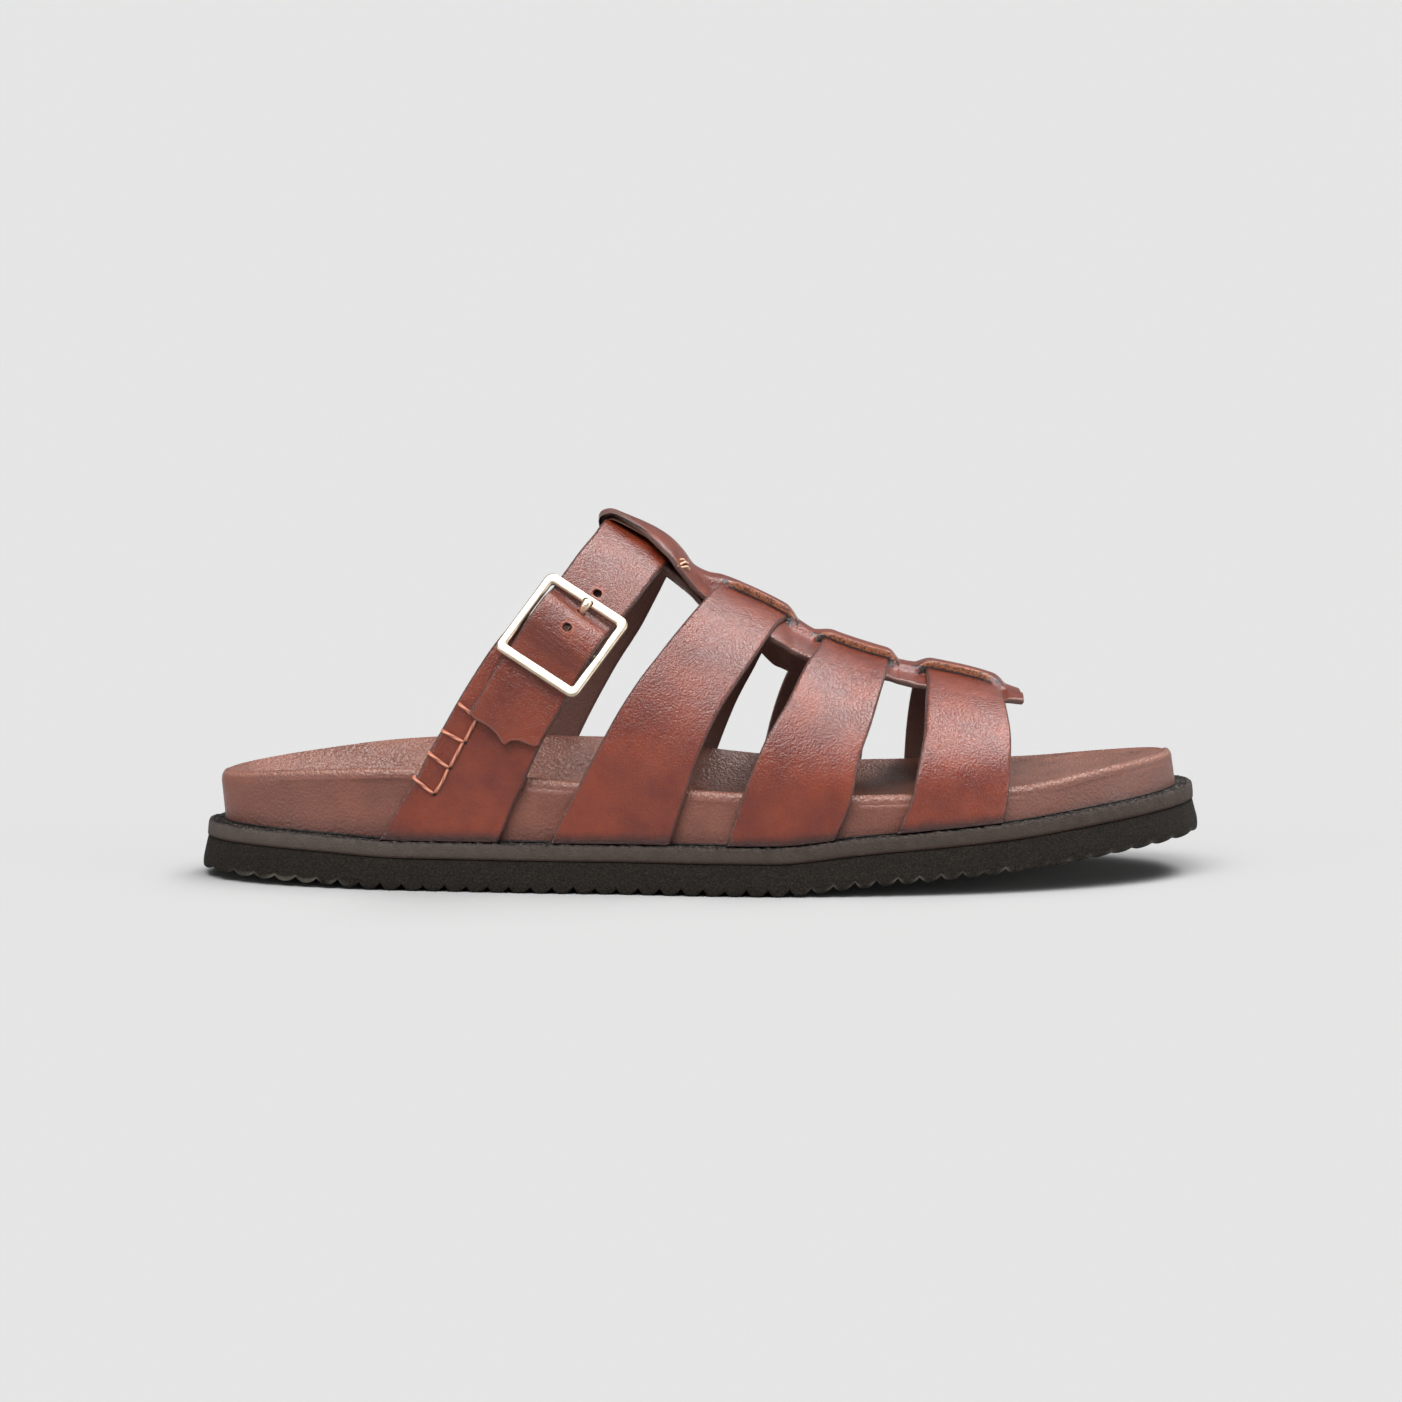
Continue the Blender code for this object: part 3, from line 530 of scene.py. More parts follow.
# The hide's section over the rim: inset, height from the rim, share of the way to the bed
SECTION = np.array([
    (0, 0.1, -3.0, 0.0),
    (1, 0.25, -1.9, 0.0),
    (2, 0.7, -0.9, 0.0),
    (3, 1.4, -0.2, 0.0),
    (4, 2.2, 0.0, 0.0),
    (5, 3.1, -0.2, 0.02),
    (6, 5.0, -0.3, 0.12),
    (7, 8.0, 0.0, 0.35),
    (8, 14.0, 0.0, 0.78),
    (9, 19.0, 0.0, 0.96),
    (10, 23.0, 0.0, 1.0),
])
for step in np.linspace(0, 10, 61):
    inset, rise, toward_bed = (follow(SECTION, column, step) for column in (1, 2, 3))
    rings.append(footbed_ring(inset, rise, toward_bed, turn))
bed_ring = rings[-1]
middle = np.stack([bed_ring[:, 0], follow(OUTLINE, 1, bed_ring[:, 0]), bed_ring[:, 2]], -1)
for part in (0.25, 0.5, 0.75, 0.97):
    rings.append(bed_ring + (middle - bed_ring) * part)
rings = np.array(rings)
ring_at = np.arange(len(rings))[:, None]
height_up = (rings[..., 2] - foot_ring[:, 2]) / (shoulder[:, 2] - foot_ring[:, 2])
sag = ripple(rings, 26.0, 11)[..., None] * 0.22
draw_in = np.where(ring_at < 12, 1.0, 0.0)[..., None]
rings[..., 1:2] += sag * draw_in * np.sign(rings[..., 1:2])
marks = {
    "wall": np.clip((24 - ring_at) / 8.0, 0, 1) + 0 * height_up,
    "foot": np.where(ring_at < 14, np.clip(1 - height_up * 2.4, 0, 1), 0.0),
    "rim": np.exp(-((ring_at - 24) / 3.0) ** 2) + 0 * height_up,
}
footbed = surface("footbed_body", rings, wrap, marks, crease=60)
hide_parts("footbed")

# ---- Straps two, three and four --------------------------------------------
# Three straps of 2.2 mm vegetable-tanned leather cross the foot. Each runs down
# both sides of the footbed and is cemented on the midsole ledge. The cut edges
# are rounded, stained dark and waxed, and the flesh side is dark brown.
STRAP_SEAM = 0.4
RIDGE_Y = 9.3             # crest of the instep, towards the inner side
WALL_TURN = 0.2           # share of the turn that runs down the footbed wall
STRAP_THICK = 2.2
FACE_COLUMNS = 30

# Crest of the instep. along, height
CREST = np.array([
    (-100, 149.0),
    (-60, 124.0),
    (-28, 102.4),
    (-14, 95.7),
    (0, 85.6),
    (20, 75.7),
    (40, 65.2),
    (60, 59.2),
    (80, 54.6),
    (100, 48.6),
])

# Strap edges. turn, rear, front. The turn is 0 on the crest, 1 at the footbed
# rim and 1.2 on the midsole, negative on the outer side.
STRAP_2 = np.array([
    (-1.2, -43.0, -8.6),
    (-1.0, -35.4, -4.3),
    (-0.9, -29.6, -1.5),
    (-0.8, -23.9, 1.9),
    (-0.7, -17.9, 5.7),
    (-0.6, -12.1, 9.9),
    (-0.4, -3.8, 17.0),
    (-0.2, 2.0, 21.6),
    (0.0, 5.3, 25.1),
    (0.2, 5.0, 23.6),
    (0.4, 1.5, 20.6),
    (0.6, -5.0, 16.3),
    (0.8, -15.0, 10.2),
    (1.0, -24.5, 4.4),
    (1.2, -34.0, -1.0),
])
STRAP_3 = np.array([
    (-1.2, 7.4, 38.4),
    (-1.0, 11.4, 42.6),
    (-0.8, 17.6, 45.0),
    (-0.6, 24.6, 48.7),
    (-0.4, 29.3, 51.5),
    (-0.2, 33.4, 53.7),
    (0.0, 35.3, 54.4),
    (0.2, 33.4, 54.0),
    (0.4, 30.0, 52.8),
    (0.6, 25.4, 51.0),
    (0.8, 21.5, 49.0),
    (1.0, 18.0, 47.5),
    (1.2, 13.0, 44.0),
])
STRAP_4 = np.array([
    (-1.2, 55.8, 86.1),
    (-1.0, 59.6, 87.5),
    (-0.8, 61.9, 88.2),
    (-0.6, 63.8, 88.6),
    (-0.4, 64.5, 88.0),
    (-0.2, 65.2, 87.2),
    (0.0, 65.2, 86.6),
    (0.2, 64.2, 87.0),
    (0.4, 62.8, 87.8),
    (0.6, 61.8, 88.3),
    (0.8, 61.0, 88.5),
    (1.0, 60.4, 88.3),
    (1.2, 58.4, 87.3),
])


def last_surface(x, turn):
    """Point on the last: a wall up the footbed, then a half ellipse over it."""
    x, turn = np.broadcast_arrays(np.asarray(x, float), np.asarray(turn, float))
    side = np.where(turn < 0, -1, 1)
    foot_y = outline_y(x, side, FOOTBED_INSET - STRAP_SEAM)
    rim_y = foot_y + side * wall_lean(x)
    rim_z = rim_height(x, side) - 2.0
    angle = np.clip(np.abs(turn), 0, 1) * math.pi / 2
    down = np.clip((np.abs(turn) - 1) / WALL_TURN, 0, 1)
    y = RIDGE_Y + (rim_y - RIDGE_Y) * np.sin(angle) + (foot_y - rim_y) * down
    arch_z = rim_z + (follow(CREST, 1, x) - rim_z) * np.cos(angle)
    z = arch_z + (spring(x) + MIDSOLE_TOP + STRAP_SEAM - rim_z) * down
    return np.stack([x, y, z], -1)


def on_last(x, turn, lift):
    """Point at a lift above the last, along its outward normal."""
    along = last_surface(x + 0.5, turn) - last_surface(x - 0.5, turn)
    round_ = last_surface(x, turn + 0.003) - last_surface(x, turn - 0.003)
    return last_surface(x, turn) + unit(np.cross(along, round_)) * np.asarray(lift, float)[..., None]


def strap_row(table, turn, across, skew=0.0):
    """x and turn across a strap, from its rear edge (0) to its front (1)."""
    rear = follow(table, 1, turn + skew / 2)
    front = follow(table, 2, turn - skew / 2)
    return rear + (front - rear) * across, turn + skew * (0.5 - across)


# Section of a cut edge from the outermost point inwards: in from the edge, height
UNDER_EDGE = np.array([(0.0, 0.40), (0.12, 0.14), (0.45, 0.02), (1.1, 0.0)])
UPPER_EDGE = np.array([(-0.03, 1.05), (0.02, 1.55), (0.15, 1.88), (0.42, 2.10), (0.80, 2.18),
                       (1.3, 2.20)])


def strap_grid(table, turns, lifts, skew=0.0, reach=0.0, shape=None, squash=1.0):
    """Rings round a strap, carried along the last, with marks for its finish.

    A ring is the under face from rear to front and the top face back again,
    with the section of a cut edge at both sides. Places across are measured
    square to the edge: the chord of the row times the sine of the angle that
    it makes with the edge. squash below 1 thins a row about its middle.
    """
    turns, lifts, skew, reach, squash = (np.broadcast_to(part, np.shape(turns))[:, None]
                                         for part in (turns, lifts, skew, reach, squash))
    rear = on_last(*strap_row(table, turns, 0.0, skew), lifts)[:, 0]
    front = on_last(*strap_row(table, turns, 1.0, skew), lifts)[:, 0]
    heading = unit(np.gradient(rear + front, axis=0))
    square = np.linalg.norm(np.cross(front - rear, heading), axis=1)[:, None]
    under, upper = UNDER_EDGE[:, 0] + 0 * square, UPPER_EDGE[:, 0] + 0 * square
    more = 2 * (len(UPPER_EDGE) - len(UNDER_EDGE))
    low_face = np.linspace(under[:, -1], square[:, 0] - under[:, -1], FACE_COLUMNS + more + 2)
    top_face = np.linspace(square[:, 0] - upper[:, -1], upper[:, -1], FACE_COLUMNS + 2)
    spread = np.concatenate([under, low_face[1:-1].T, square - under[:, ::-1],
                             square - upper, top_face[1:-1].T, upper[:, ::-1]], 1)
    tall = np.concatenate([UNDER_EDGE[:, 1], np.zeros(FACE_COLUMNS + more), UNDER_EDGE[::-1, 1],
                           UPPER_EDGE[:, 1], np.full(FACE_COLUMNS, STRAP_THICK),
                           UPPER_EDGE[::-1, 1]])
    share = spread / square
    row_x, row_turn = strap_row(table, turns, share, skew)
    if shape is not None:
        row_turn = row_turn - reach * follow(shape, 1, share)
    lift = lifts + STRAP_THICK / 2 + (tall - STRAP_THICK / 2) * squash
    grid = on_last(row_x, row_turn, lift)
    near_edge = np.minimum(spread, square - spread)
    marks = {
        "edge": near_edge + 4.0 * (tall < 0.3 * STRAP_THICK),
        "flesh": np.clip((0.35 - tall / STRAP_THICK) / 0.2, 0, 1) + 0 * near_edge,
        "run": np.cumsum(np.r_[0, np.linalg.norm(np.diff(rear + front, axis=0), axis=1) / 2])[:, None]
               + 0 * near_edge,
        "across": spread,
        "foot": np.broadcast_to(grid[..., 2] - spring(grid[..., 0]) - MIDSOLE_TOP, grid.shape[:2]),
    }
    return grid, marks


# Waxed strap leather: warm red-brown with slow mottling and fine grain. The cut
# edges are stained dark and waxed to a mauve grey, and the flesh side is dark
# brown. Where a strap is bent, fine wrinkles run across it.
def strap_leather(name, deep=paint(95, 26, 4), light=paint(124, 44, 10), bent=None):
    """The straps' leather, with its own depth of dye and a mark that says where it is bent."""
    made, tree, shader = finish_of(name, Specular_IOR_Level=0.65)
    place = millimetres(tree)
    effect = use(tree, grain, Place=place, Pebble=0.62, Pebbling=0.6)
    tone = mask(tree, effect["Tone"], 0.28, 0.74)
    colour = mix(tree, tone, deep, light)
    colour = tint(tree, colour, sums(tree, "SUBTRACT", 1.0, effect["Pits"]), 0.45, paint(72, 26, 16))
    edge = mark(tree, "edge")
    wobble = sums(tree, "MULTIPLY_ADD", noise(tree, place, 1.2, 2.0), 0.5, edge)
    stain = mask(tree, wobble, 1.25, 0.45)
    colour = tint(tree, colour, stain, 0.8, paint(52, 26, 22))
    colour = tint(tree, colour, mask(tree, edge, 0.40, 0.12), 0.9, paint(92, 62, 55))
    foot = mark(tree, "foot")
    # The strap is painted near black at its foot on the ledge: painted shade.
    base = sums(tree, "MULTIPLY_ADD", noise(tree, place, 2.5, 2.0), 1.2, foot)
    colour = tint(tree, colour, mask(tree, base, 5.0, 1.1), 0.92, paint(34, 9, 4))
    # The strap is painted a little darker the higher it rises: painted shade on the upper faces.
    colour = tint(tree, colour, mask(tree, foot, 5.0, 85.0), 0.17, paint(20, 8, 5))
    flesh = mark(tree, "flesh")
    fibres = noise(tree, place, 0.7, 4.0, 0.7)
    flesh_tone = mix(tree, fibres, paint(70, 38, 30), paint(112, 74, 62))
    colour = mix(tree, flesh, colour, flesh_tone)
    rough = mix(tree, flesh, (0.20, 0.20, 0.20, 1), (0.8, 0.8, 0.8, 1))
    rough = sums(tree, "MULTIPLY_ADD", sums(tree, "SUBTRACT", effect["Tone"], 0.5), 0.25, rough)
    height = effect["Height"]
    if bent:
        fold = add(tree, "CombineXYZ", {0: mark(tree, "run"), 2: times(tree, mark(tree, "across"), 0.16)})
        folds = sums(tree, "SUBTRACT", noise(tree, fold.outputs[0], 1.5), 0.5)
        folds = mask(tree, sums(tree, "ABSOLUTE", folds), 0.0, 0.09)
        share = mark(tree, bent)
        height = sums(tree, "MULTIPLY_ADD", times(tree, folds, share), 0.4, height)
        # The wrinkle lines are painted darker: painted shade in the creases.
        lines = times(tree, sums(tree, "SUBTRACT", 1.0, folds), times(tree, share, 0.22))
        colour = mix(tree, lines, colour, paint(66, 24, 15))
    dress(tree, shader, colour, rough, height, 0.21)
    return made, tree, shader, colour


hide = strap_leather("strap_leather")[0]
arch = np.linspace(-1.2, 1.2, 260)
for number, table in ((2, STRAP_2), (3, STRAP_3), (4, STRAP_4)):
    grid, marks = strap_grid(table, arch, 0.0)
    strap = surface(f"strap_{number}", grid, hide, marks)
    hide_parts("upper")

# ---- Spine -----------------------------------------------------------------
# One long piece of the same hide, slit in two lines. It starts under the first
# strap, is folded round that strap's rear edge and comes forward as a tongue.
# Its middle runs over the other straps and its margins under them, and between
# the straps they come together. The slits' edges are left raw and fibrous.
SPINE_TOP = 1.3           # the top face over the path's middle
SPINE_THICK = 1.9         # from the top face down to the flesh side
WALL_OUT = 0.35           # run-out of a slit wall

# The spine's path. along; lifts: middle, outer margin, inner margin; then the
# reach from the ridge: outer, inner.
SPINE = np.array([
    (1.5, -1.9, -2.3, -2.4, 17.5, 12.0),
    (-4.0, -1.2, -0.85, -1.2, 15.5, 11.0),
    (-11.0, -0.85, -0.85, -0.85, 12.5, 10.5),
    (-20.0, -0.85, -0.85, -0.85, 9.0, 10.5),
    (-26.4, -0.85, -0.85, -0.85, 5.5, 11.0),
    (-28.0, -0.3, -0.1, -0.3, 4.5, 11.0),
    (-28.8, 1.1, 1.3, 1.1, 4.5, 11.0),
    (-28.0, 2.5, 2.8, 2.5, 4.5, 11.0),
    (-26.4, 3.1, 3.7, 3.1, 5.5, 11.0),
    (-18.0, 3.35, 4.6, 3.35, 12.5, 10.5),
    (-12.0, 3.2, 4.5, 3.2, 17.5, 10.5),
    (-8.0, 2.5, 3.2, 2.5, 19.0, 10.5),
    (-3.0, 0.9, 1.2, 0.9, 19.0, 11.5),
    (1.0, 1.4, 0.0, 0.2, 18.8, 13.0),
    (5.0, 2.7, -0.8, -0.8, 18.8, 15.0),
    (9.0, 3.1, -0.8, -0.8, 19.5, 17.0),
    (15.0, 3.2, -0.8, -0.8, 21.5, 20.0),
    (22.5, 3.1, -0.8, -0.8, 24.5, 24.0),
    (27.5, 0.9, -1.3, -1.7, 24.5, 24.5),
    (32.0, 0.6, -1.3, -1.7, 24.0, 24.0),
    (37.5, 2.9, -0.8, -0.8, 22.5, 22.5),
    (45.0, 3.05, -0.8, -0.8, 20.5, 21.0),
    (53.0, 3.0, -0.8, -0.8, 19.0, 20.0),
    (57.5, 0.6, -1.2, -1.5, 18.0, 19.0),
    (62.0, 0.9, -1.2, -1.5, 18.0, 19.0),
    (67.0, 3.1, -0.8, -0.8, 18.5, 19.0),
    (76.0, 3.2, -0.8, -0.8, 19.0, 19.0),
    (84.0, 3.0, -0.6, -0.6, 19.0, 19.0),
    (88.5, 1.0, 1.2, 0.6, 18.5, 18.5),
    (92.8, 0.8, 2.0, 0.8, 18.0, 18.0),
])

# The slits, as distances from the ridge. along, outer, inner
SLITS = np.array([
    (-8.0, 10.5, 10.5),
    (3.0, 6.8, 10.5),
    (15.0, 5.6, 10.5),
    (24.0, 6.5, 10.5),
    (34.0, 7.2, 10.5),
    (44.0, 7.6, 10.5),
    (56.0, 7.0, 10.5),
    (64.0, 6.0, 10.5),
    (78.0, 5.6, 10.5),
    (86.0, 7.0, 10.5),
    (93.0, 8.0, 10.5),
])
# Where a strap passes through and holds the slits open. from, to
OPENINGS = ((5.6, 26.6), (32.4, 56.3), (62.4, 85.2))


def half_columns(reach, slit, wall_shift, opened):
    """Places from the ridge to one outer edge, and each column's share of margin height.

    Where the slit is open the wall is steep. Where it is shut the step is
    spread out until the middle flows into the margin.
    """
    edge = np.array([1.0, 0.55, 0.25, 0.08, 0.0, 0.0])
    wall_at = np.array([-0.9, -0.35, -0.08, 0.05, 0.10, 0.14, 0.20, WALL_OUT])
    wall_share = np.array([0.0, 0.01, 0.05, 0.2, 0.5, 0.75, 0.93, 1.0])
    spread = np.where(wall_at < 0, 1 + 3.5 * (1 - opened), 1 + 13 * (1 - opened))
    wall = slit + wall_at * spread + wall_shift
    middle = np.linspace(0, 1, 13)[:-1] * wall[:, :1]
    margin_from = wall[:, -1:]
    margin = margin_from + np.linspace(0, 1, 11)[1:-1] * (reach - edge[0] - margin_from)
    places = np.concatenate([middle, wall, margin, reach - edge], 1)
    share = np.concatenate([np.zeros(12), wall_share, np.ones(9 + len(edge))])
    return places, share


path = np.column_stack([np.arange(len(SPINE)), SPINE])
ends = np.array([0.0, 0.02, 0.05, 0.09])
step = np.concatenate([ends, np.linspace(0.14, len(SPINE) - 1.14, 430), len(SPINE) - 1 - ends[::-1]])
squash = np.ones(len(step))
squash[:4] = squash[:-5:-1] = (0.25, 0.62, 0.86, 0.97)
along, middle, outer, inner, reach_out, reach_in = (
    follow(path, column, step)[:, None] for column in range(1, 7))
step_along, step_lift = np.gradient(along[:, 0]), np.gradient(middle[:, 0])
length = np.hypot(step_along, step_lift)[:, None]
heading = step_along[:, None] / length, step_lift[:, None] / length
forward = step > 11.5
opened = sum(np.clip(np.minimum(along - start, stop - along) / 3.5, 0, 1) for start, stop in OPENINGS)
opened = opened * opened * (3 - 2 * opened) * forward[:, None]
# Dark spots are painted at the ends of the open slits: painted shade for the holes there.
shade_at_slit_ends = sum(np.exp(-((along - place) / 1.1) ** 2) for pair in OPENINGS for place in pair) * forward[:, None]
slit_out = np.minimum(follow(SLITS, 1, along), 0.6 * reach_out)
slit_in = np.minimum(follow(SLITS, 2, along), 0.6 * reach_in)
EDGE_FALL = np.array([0.0, 0.05, 0.22, 0.5, 0.95, 1.35])
halves = []
for under in (False, True):
    for side, reach, slit, margin in ((-1, reach_out, slit_out, outer), (1, reach_in, slit_in, inner)):
        places, share = half_columns(reach, slit, -0.9 * opened if under else 0 * opened, opened)
        lift = middle + (margin - middle) * share
        fall = np.concatenate([np.zeros(len(share) - 6), EDGE_FALL])
        depth = (SPINE_TOP - SPINE_THICK + fall * 0.4) if under else (SPINE_TOP - fall)
        bead = 0.22 * np.exp(-((places - slit + 0.40) / 0.32) ** 2) * opened * (not under)
        in_wall = (share > 0.03) & (share < 0.999)
        halves.append((side * places, lift, depth + bead, in_wall * opened * (not under), reach - places,
                       np.abs(places - slit) + 8 * (1 - opened), float(under) + 0 * places,
                       shade_at_slit_ends * np.exp(-((places - slit - 0.2) / 0.75) ** 2) * (not under)))


def joined(kind):
    """Columns of one kind round the whole ring: top from outer to inner edge, then back under."""
    top_out, top_in, low_out, low_in = (half[kind] for half in halves)
    return np.concatenate([top_out[:, :0:-1], top_in, low_in[:, :0:-1], low_out], 1)


offset, lift, depth, raw, edge, slit_gap, flesh, slit_end_shade = (joined(kind) for kind in range(8))
depth = 0.35 + (depth - 0.35) * squash[:, None]
side = np.where(offset < 0, -1, 1)
span = side * (outline_y(along, side, FOOTBED_INSET) - RIDGE_Y)
spine_turn = np.arcsin(offset / span) * 2 / math.pi
grid = on_last(along - heading[1] * depth, spine_turn, lift + heading[0] * depth)
spine_leather, tree, shader, colour = strap_leather("spine_leather")
place = millimetres(tree)
colour = tint(tree, colour, mask(tree, mark(tree, "slit"), 4.5, 0.3), 0.55, paint(166, 84, 52))
cut = mark(tree, "edge")
# A pale line painted along the cut edges: a painted highlight.
lip_highlight = times(tree, mask(tree, cut, 0.75, 0.45), mask(tree, cut, 0.1, 0.3))
colour = tint(tree, colour, lip_highlight, 0.35, paint(150, 96, 78))
threads = noise(tree, place, 0.55, 3.0, 0.7)
flecks = mask(tree, noise(tree, place, 0.9, 2.0), 0.56, 0.64)
raw_colour = mix(tree, mask(tree, threads, 0.36, 0.62), paint(72, 34, 17), paint(150, 84, 46))
raw_colour = tint(tree, raw_colour, flecks, 0.8, paint(50, 24, 14))
# The foot of each slit wall is painted near black: a painted shadow in the gap under the raw edge.
raw_colour = mix(tree, mask(tree, mark(tree, "rise"), 3.05, 2.65), raw_colour, paint(34, 16, 10))
colour = mix(tree, mask(tree, mark(tree, "raw"), 0.15, 0.5), colour, raw_colour)
# The painted shade at the slit ends.
colour = mix(tree, mask(tree, mark(tree, "slit_end_shade"), 0.12, 0.5), colour, paint(44, 15, 9))
dress(tree, shader, colour)
marks = {"edge": edge + 4.0 * flesh, "flesh": flesh, "raw": raw, "slit": slit_gap, "slit_end_shade": slit_end_shade,
         "rise": lift + depth, "foot": 60 + 0 * edge}
spine = surface("spine", grid, spine_leather, marks, crease=55)
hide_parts("upper")

# ---- Strap one ---------------------------------------------------------------
# The rear strap is adjustable. It comes over the crest, dives under the frame's
# top bar, domes over the hidden centre bar and passes under the low bar, and its
# free end with the pointed tip lies on the billet. Three holes take the prong.
STRAP_1 = np.array([
    (-1.0, -75.0, -52.0),
    (-0.9, -68.0, -45.1),
    (-0.8, -60.5, -38.5),
    (-0.7, -53.3, -32.8),
    (-0.6, -46.9, -26.9),
    (-0.5, -41.4, -21.1),
    (-0.4, -37.0, -16.6),
    (-0.2, -30.5, -10.7),
    (0.0, -27.8, -7.8),
    (0.2, -29.2, -8.2),
    (0.4, -33.8, -11.2),
    (0.6, -40.3, -16.7),
    (0.8, -50.0, -26.3),
    (1.0, -61.5, -36.8),
    (1.2, -71.5, -46.5),
])
FREE_END = np.array([
    # turn, lift of the under face, reach of the tip
    (-0.888, 2.45, 0.030),
    (-0.875, 2.45, 0.026),
    (-0.850, 2.45, 0.012),
    (-0.820, 2.45, 0.0),
    (-0.780, 2.45, 0.0),
    (-0.742, 2.5, 0.0),
    (-0.715, 2.9, 0.0),
    (-0.690, 4.2, 0.0),
    (-0.662, 5.6, 0.0),
    (-0.636, 5.9, 0.0),
    (-0.610, 5.5, 0.0),
    (-0.585, 3.6, 0.0),
    (-0.562, 0.9, 0.0),
    (-0.548, 0.1, 0.0),
    (-0.530, 0.0, 0.0),
    (-0.490, 0.0, 0.0),
    (-0.440, 0.0, 0.0),
    (1.2, 0.0, 0.0),
])
# How far the tip stands out across the strap: a bracket with a point
TIP = np.array([
    (0.0, 0.0),
    (0.08, 0.22),
    (0.28, 0.30),
    (0.40, 0.55),
    (0.5, 1.0),
    (0.60, 0.55),
    (0.72, 0.30),
    (0.92, 0.22),
    (1.0, 0.0),
])


def lean_of(turns):
    """The rows of the buckle end are skewed so that they lie square to the strap."""
    return 0.05 * np.clip((turns + 1.05) / 0.2, 0, 1) * np.clip((-0.44 - turns) / 0.05, 0, 1)


thin_end = np.array([-0.8905, -0.8900, -0.8890, -0.8875])
turns = np.concatenate([thin_end, np.linspace(-0.886, -0.5, 190), np.linspace(-0.497, 1.2, 170)])
squash = np.ones(len(turns))
squash[:4] = (0.25, 0.60, 0.85, 0.96)
lifts = follow(FREE_END, 1, turns)
grid, marks = strap_grid(STRAP_1, turns, lifts, skew=lean_of(turns),
                         reach=follow(FREE_END, 2, turns), shape=TIP, squash=squash)
tip_gap = np.linalg.norm(np.diff(grid, axis=0), axis=2)
from_tip = np.concatenate([np.zeros((1, grid.shape[1])), np.cumsum(tip_gap, axis=0)])
top_face = marks["flesh"] < 0.5
marks["edge"] = np.where(top_face, np.minimum(marks["edge"], from_tip + 0.25), marks["edge"])
marks["skive"] = np.exp(-((from_tip - 0.75) / 0.45) ** 2) * top_face
# The strap is wrinkled where it comes down off the dome, and a little along its free end
dome = np.exp(-((turns + 0.668) / 0.040) ** 2) + 0.45 * np.exp(-((turns + 0.80) / 0.05) ** 2)
marks["bent"] = dome[:, None] + 0 * from_tip
first_hide, tree, shader, colour = strap_leather("first_strap_leather", bent="bent")
colour = tint(tree, colour, mark(tree, "skive"), 0.75, paint(130, 80, 68))
strap_1 = surface("strap_1", grid, first_hide, marks)


def combine(target, tool, operation):
    """Exact boolean of a hidden tool solid on the target."""
    tool.hide_render = True
    cut = target.modifiers.new(tool.name, "BOOLEAN")
    cut.operation = operation
    cut.solver = "EXACT"
    cut.object = tool


# The buckle's own axes: it lies between its end bars, over the rear strap, with
# its rear side closer to the foot.
TOP_BAR_TURN = -0.53
LOW_BAR_TURN = -0.752
AXLE_TURN = (TOP_BAR_TURN + LOW_BAR_TURN) / 2
FRAME_THICK = 1.9
BILLET_GAP = 0.25
BUCKLE_TWIST = math.radians(4)
TOP_LIFT = STRAP_THICK + 1.15 + FRAME_THICK / 2
LOW_LIFT = 2 * STRAP_THICK + 2 * BILLET_GAP + 0.75 + FRAME_THICK / 2


def bar_centre(turn, lift):
    """A point over the rear strap's centre line."""
    return on_last((follow(STRAP_1, 1, turn) + follow(STRAP_1, 2, turn)) / 2, turn, lift)


top_bar, low_bar = bar_centre(TOP_BAR_TURN, TOP_LIFT), bar_centre(LOW_BAR_TURN, LOW_LIFT)
centre = (top_bar + low_bar) / 2
BAR_SPAN = np.linalg.norm(low_bar - top_bar)
down = (low_bar - top_bar) / BAR_SPAN
front_edge, rear_edge = (on_last(*strap_row(STRAP_1, AXLE_TURN, part, 0.05), TOP_LIFT) for part in (1.0, 0.0))
across = front_edge - rear_edge
across -= down * (across @ down)
sideways = unit(across)
outward = np.cross(sideways, down)
outward *= math.copysign(1.0, -outward[1])
sideways = sideways * math.cos(BUCKLE_TWIST) + outward * math.sin(BUCKLE_TWIST)
outward = np.cross(sideways, down) * np.sign(np.cross(sideways, down) @ outward)


def buckle_point(side, along, out):
    """A point in the buckle's own axes, from the frame's middle."""
    side, along, out = np.broadcast_arrays(side, along, out)
    return centre + side[..., None] * sideways + along[..., None] * down + out[..., None] * outward


def ring_round(axis, hint, turn):
    """Steps of length one round an axis and square to it, at angles from its cross product with hint."""
    first = unit(np.cross(axis, hint))[..., None, :]
    second = np.cross(unit(axis)[..., None, :], first)
    return np.cos(turn)[:, None] * first + np.sin(turn)[:, None] * second


def round_bar(name, finish, ends, radius, sides=32):
    """A cylinder between two places in the buckle's axes, given as (side, along, out)."""
    start, stop = np.array(ends, float)
    ring = ring_round(stop - start, (0.31, 0.2, 0.93), around(sides)) * radius
    rows = start + np.linspace(0, 1, 3)[:, None, None] * (stop - start) + ring
    return surface(name, buckle_point(rows[..., 0], rows[..., 1], rows[..., 2]), finish, crease=30)
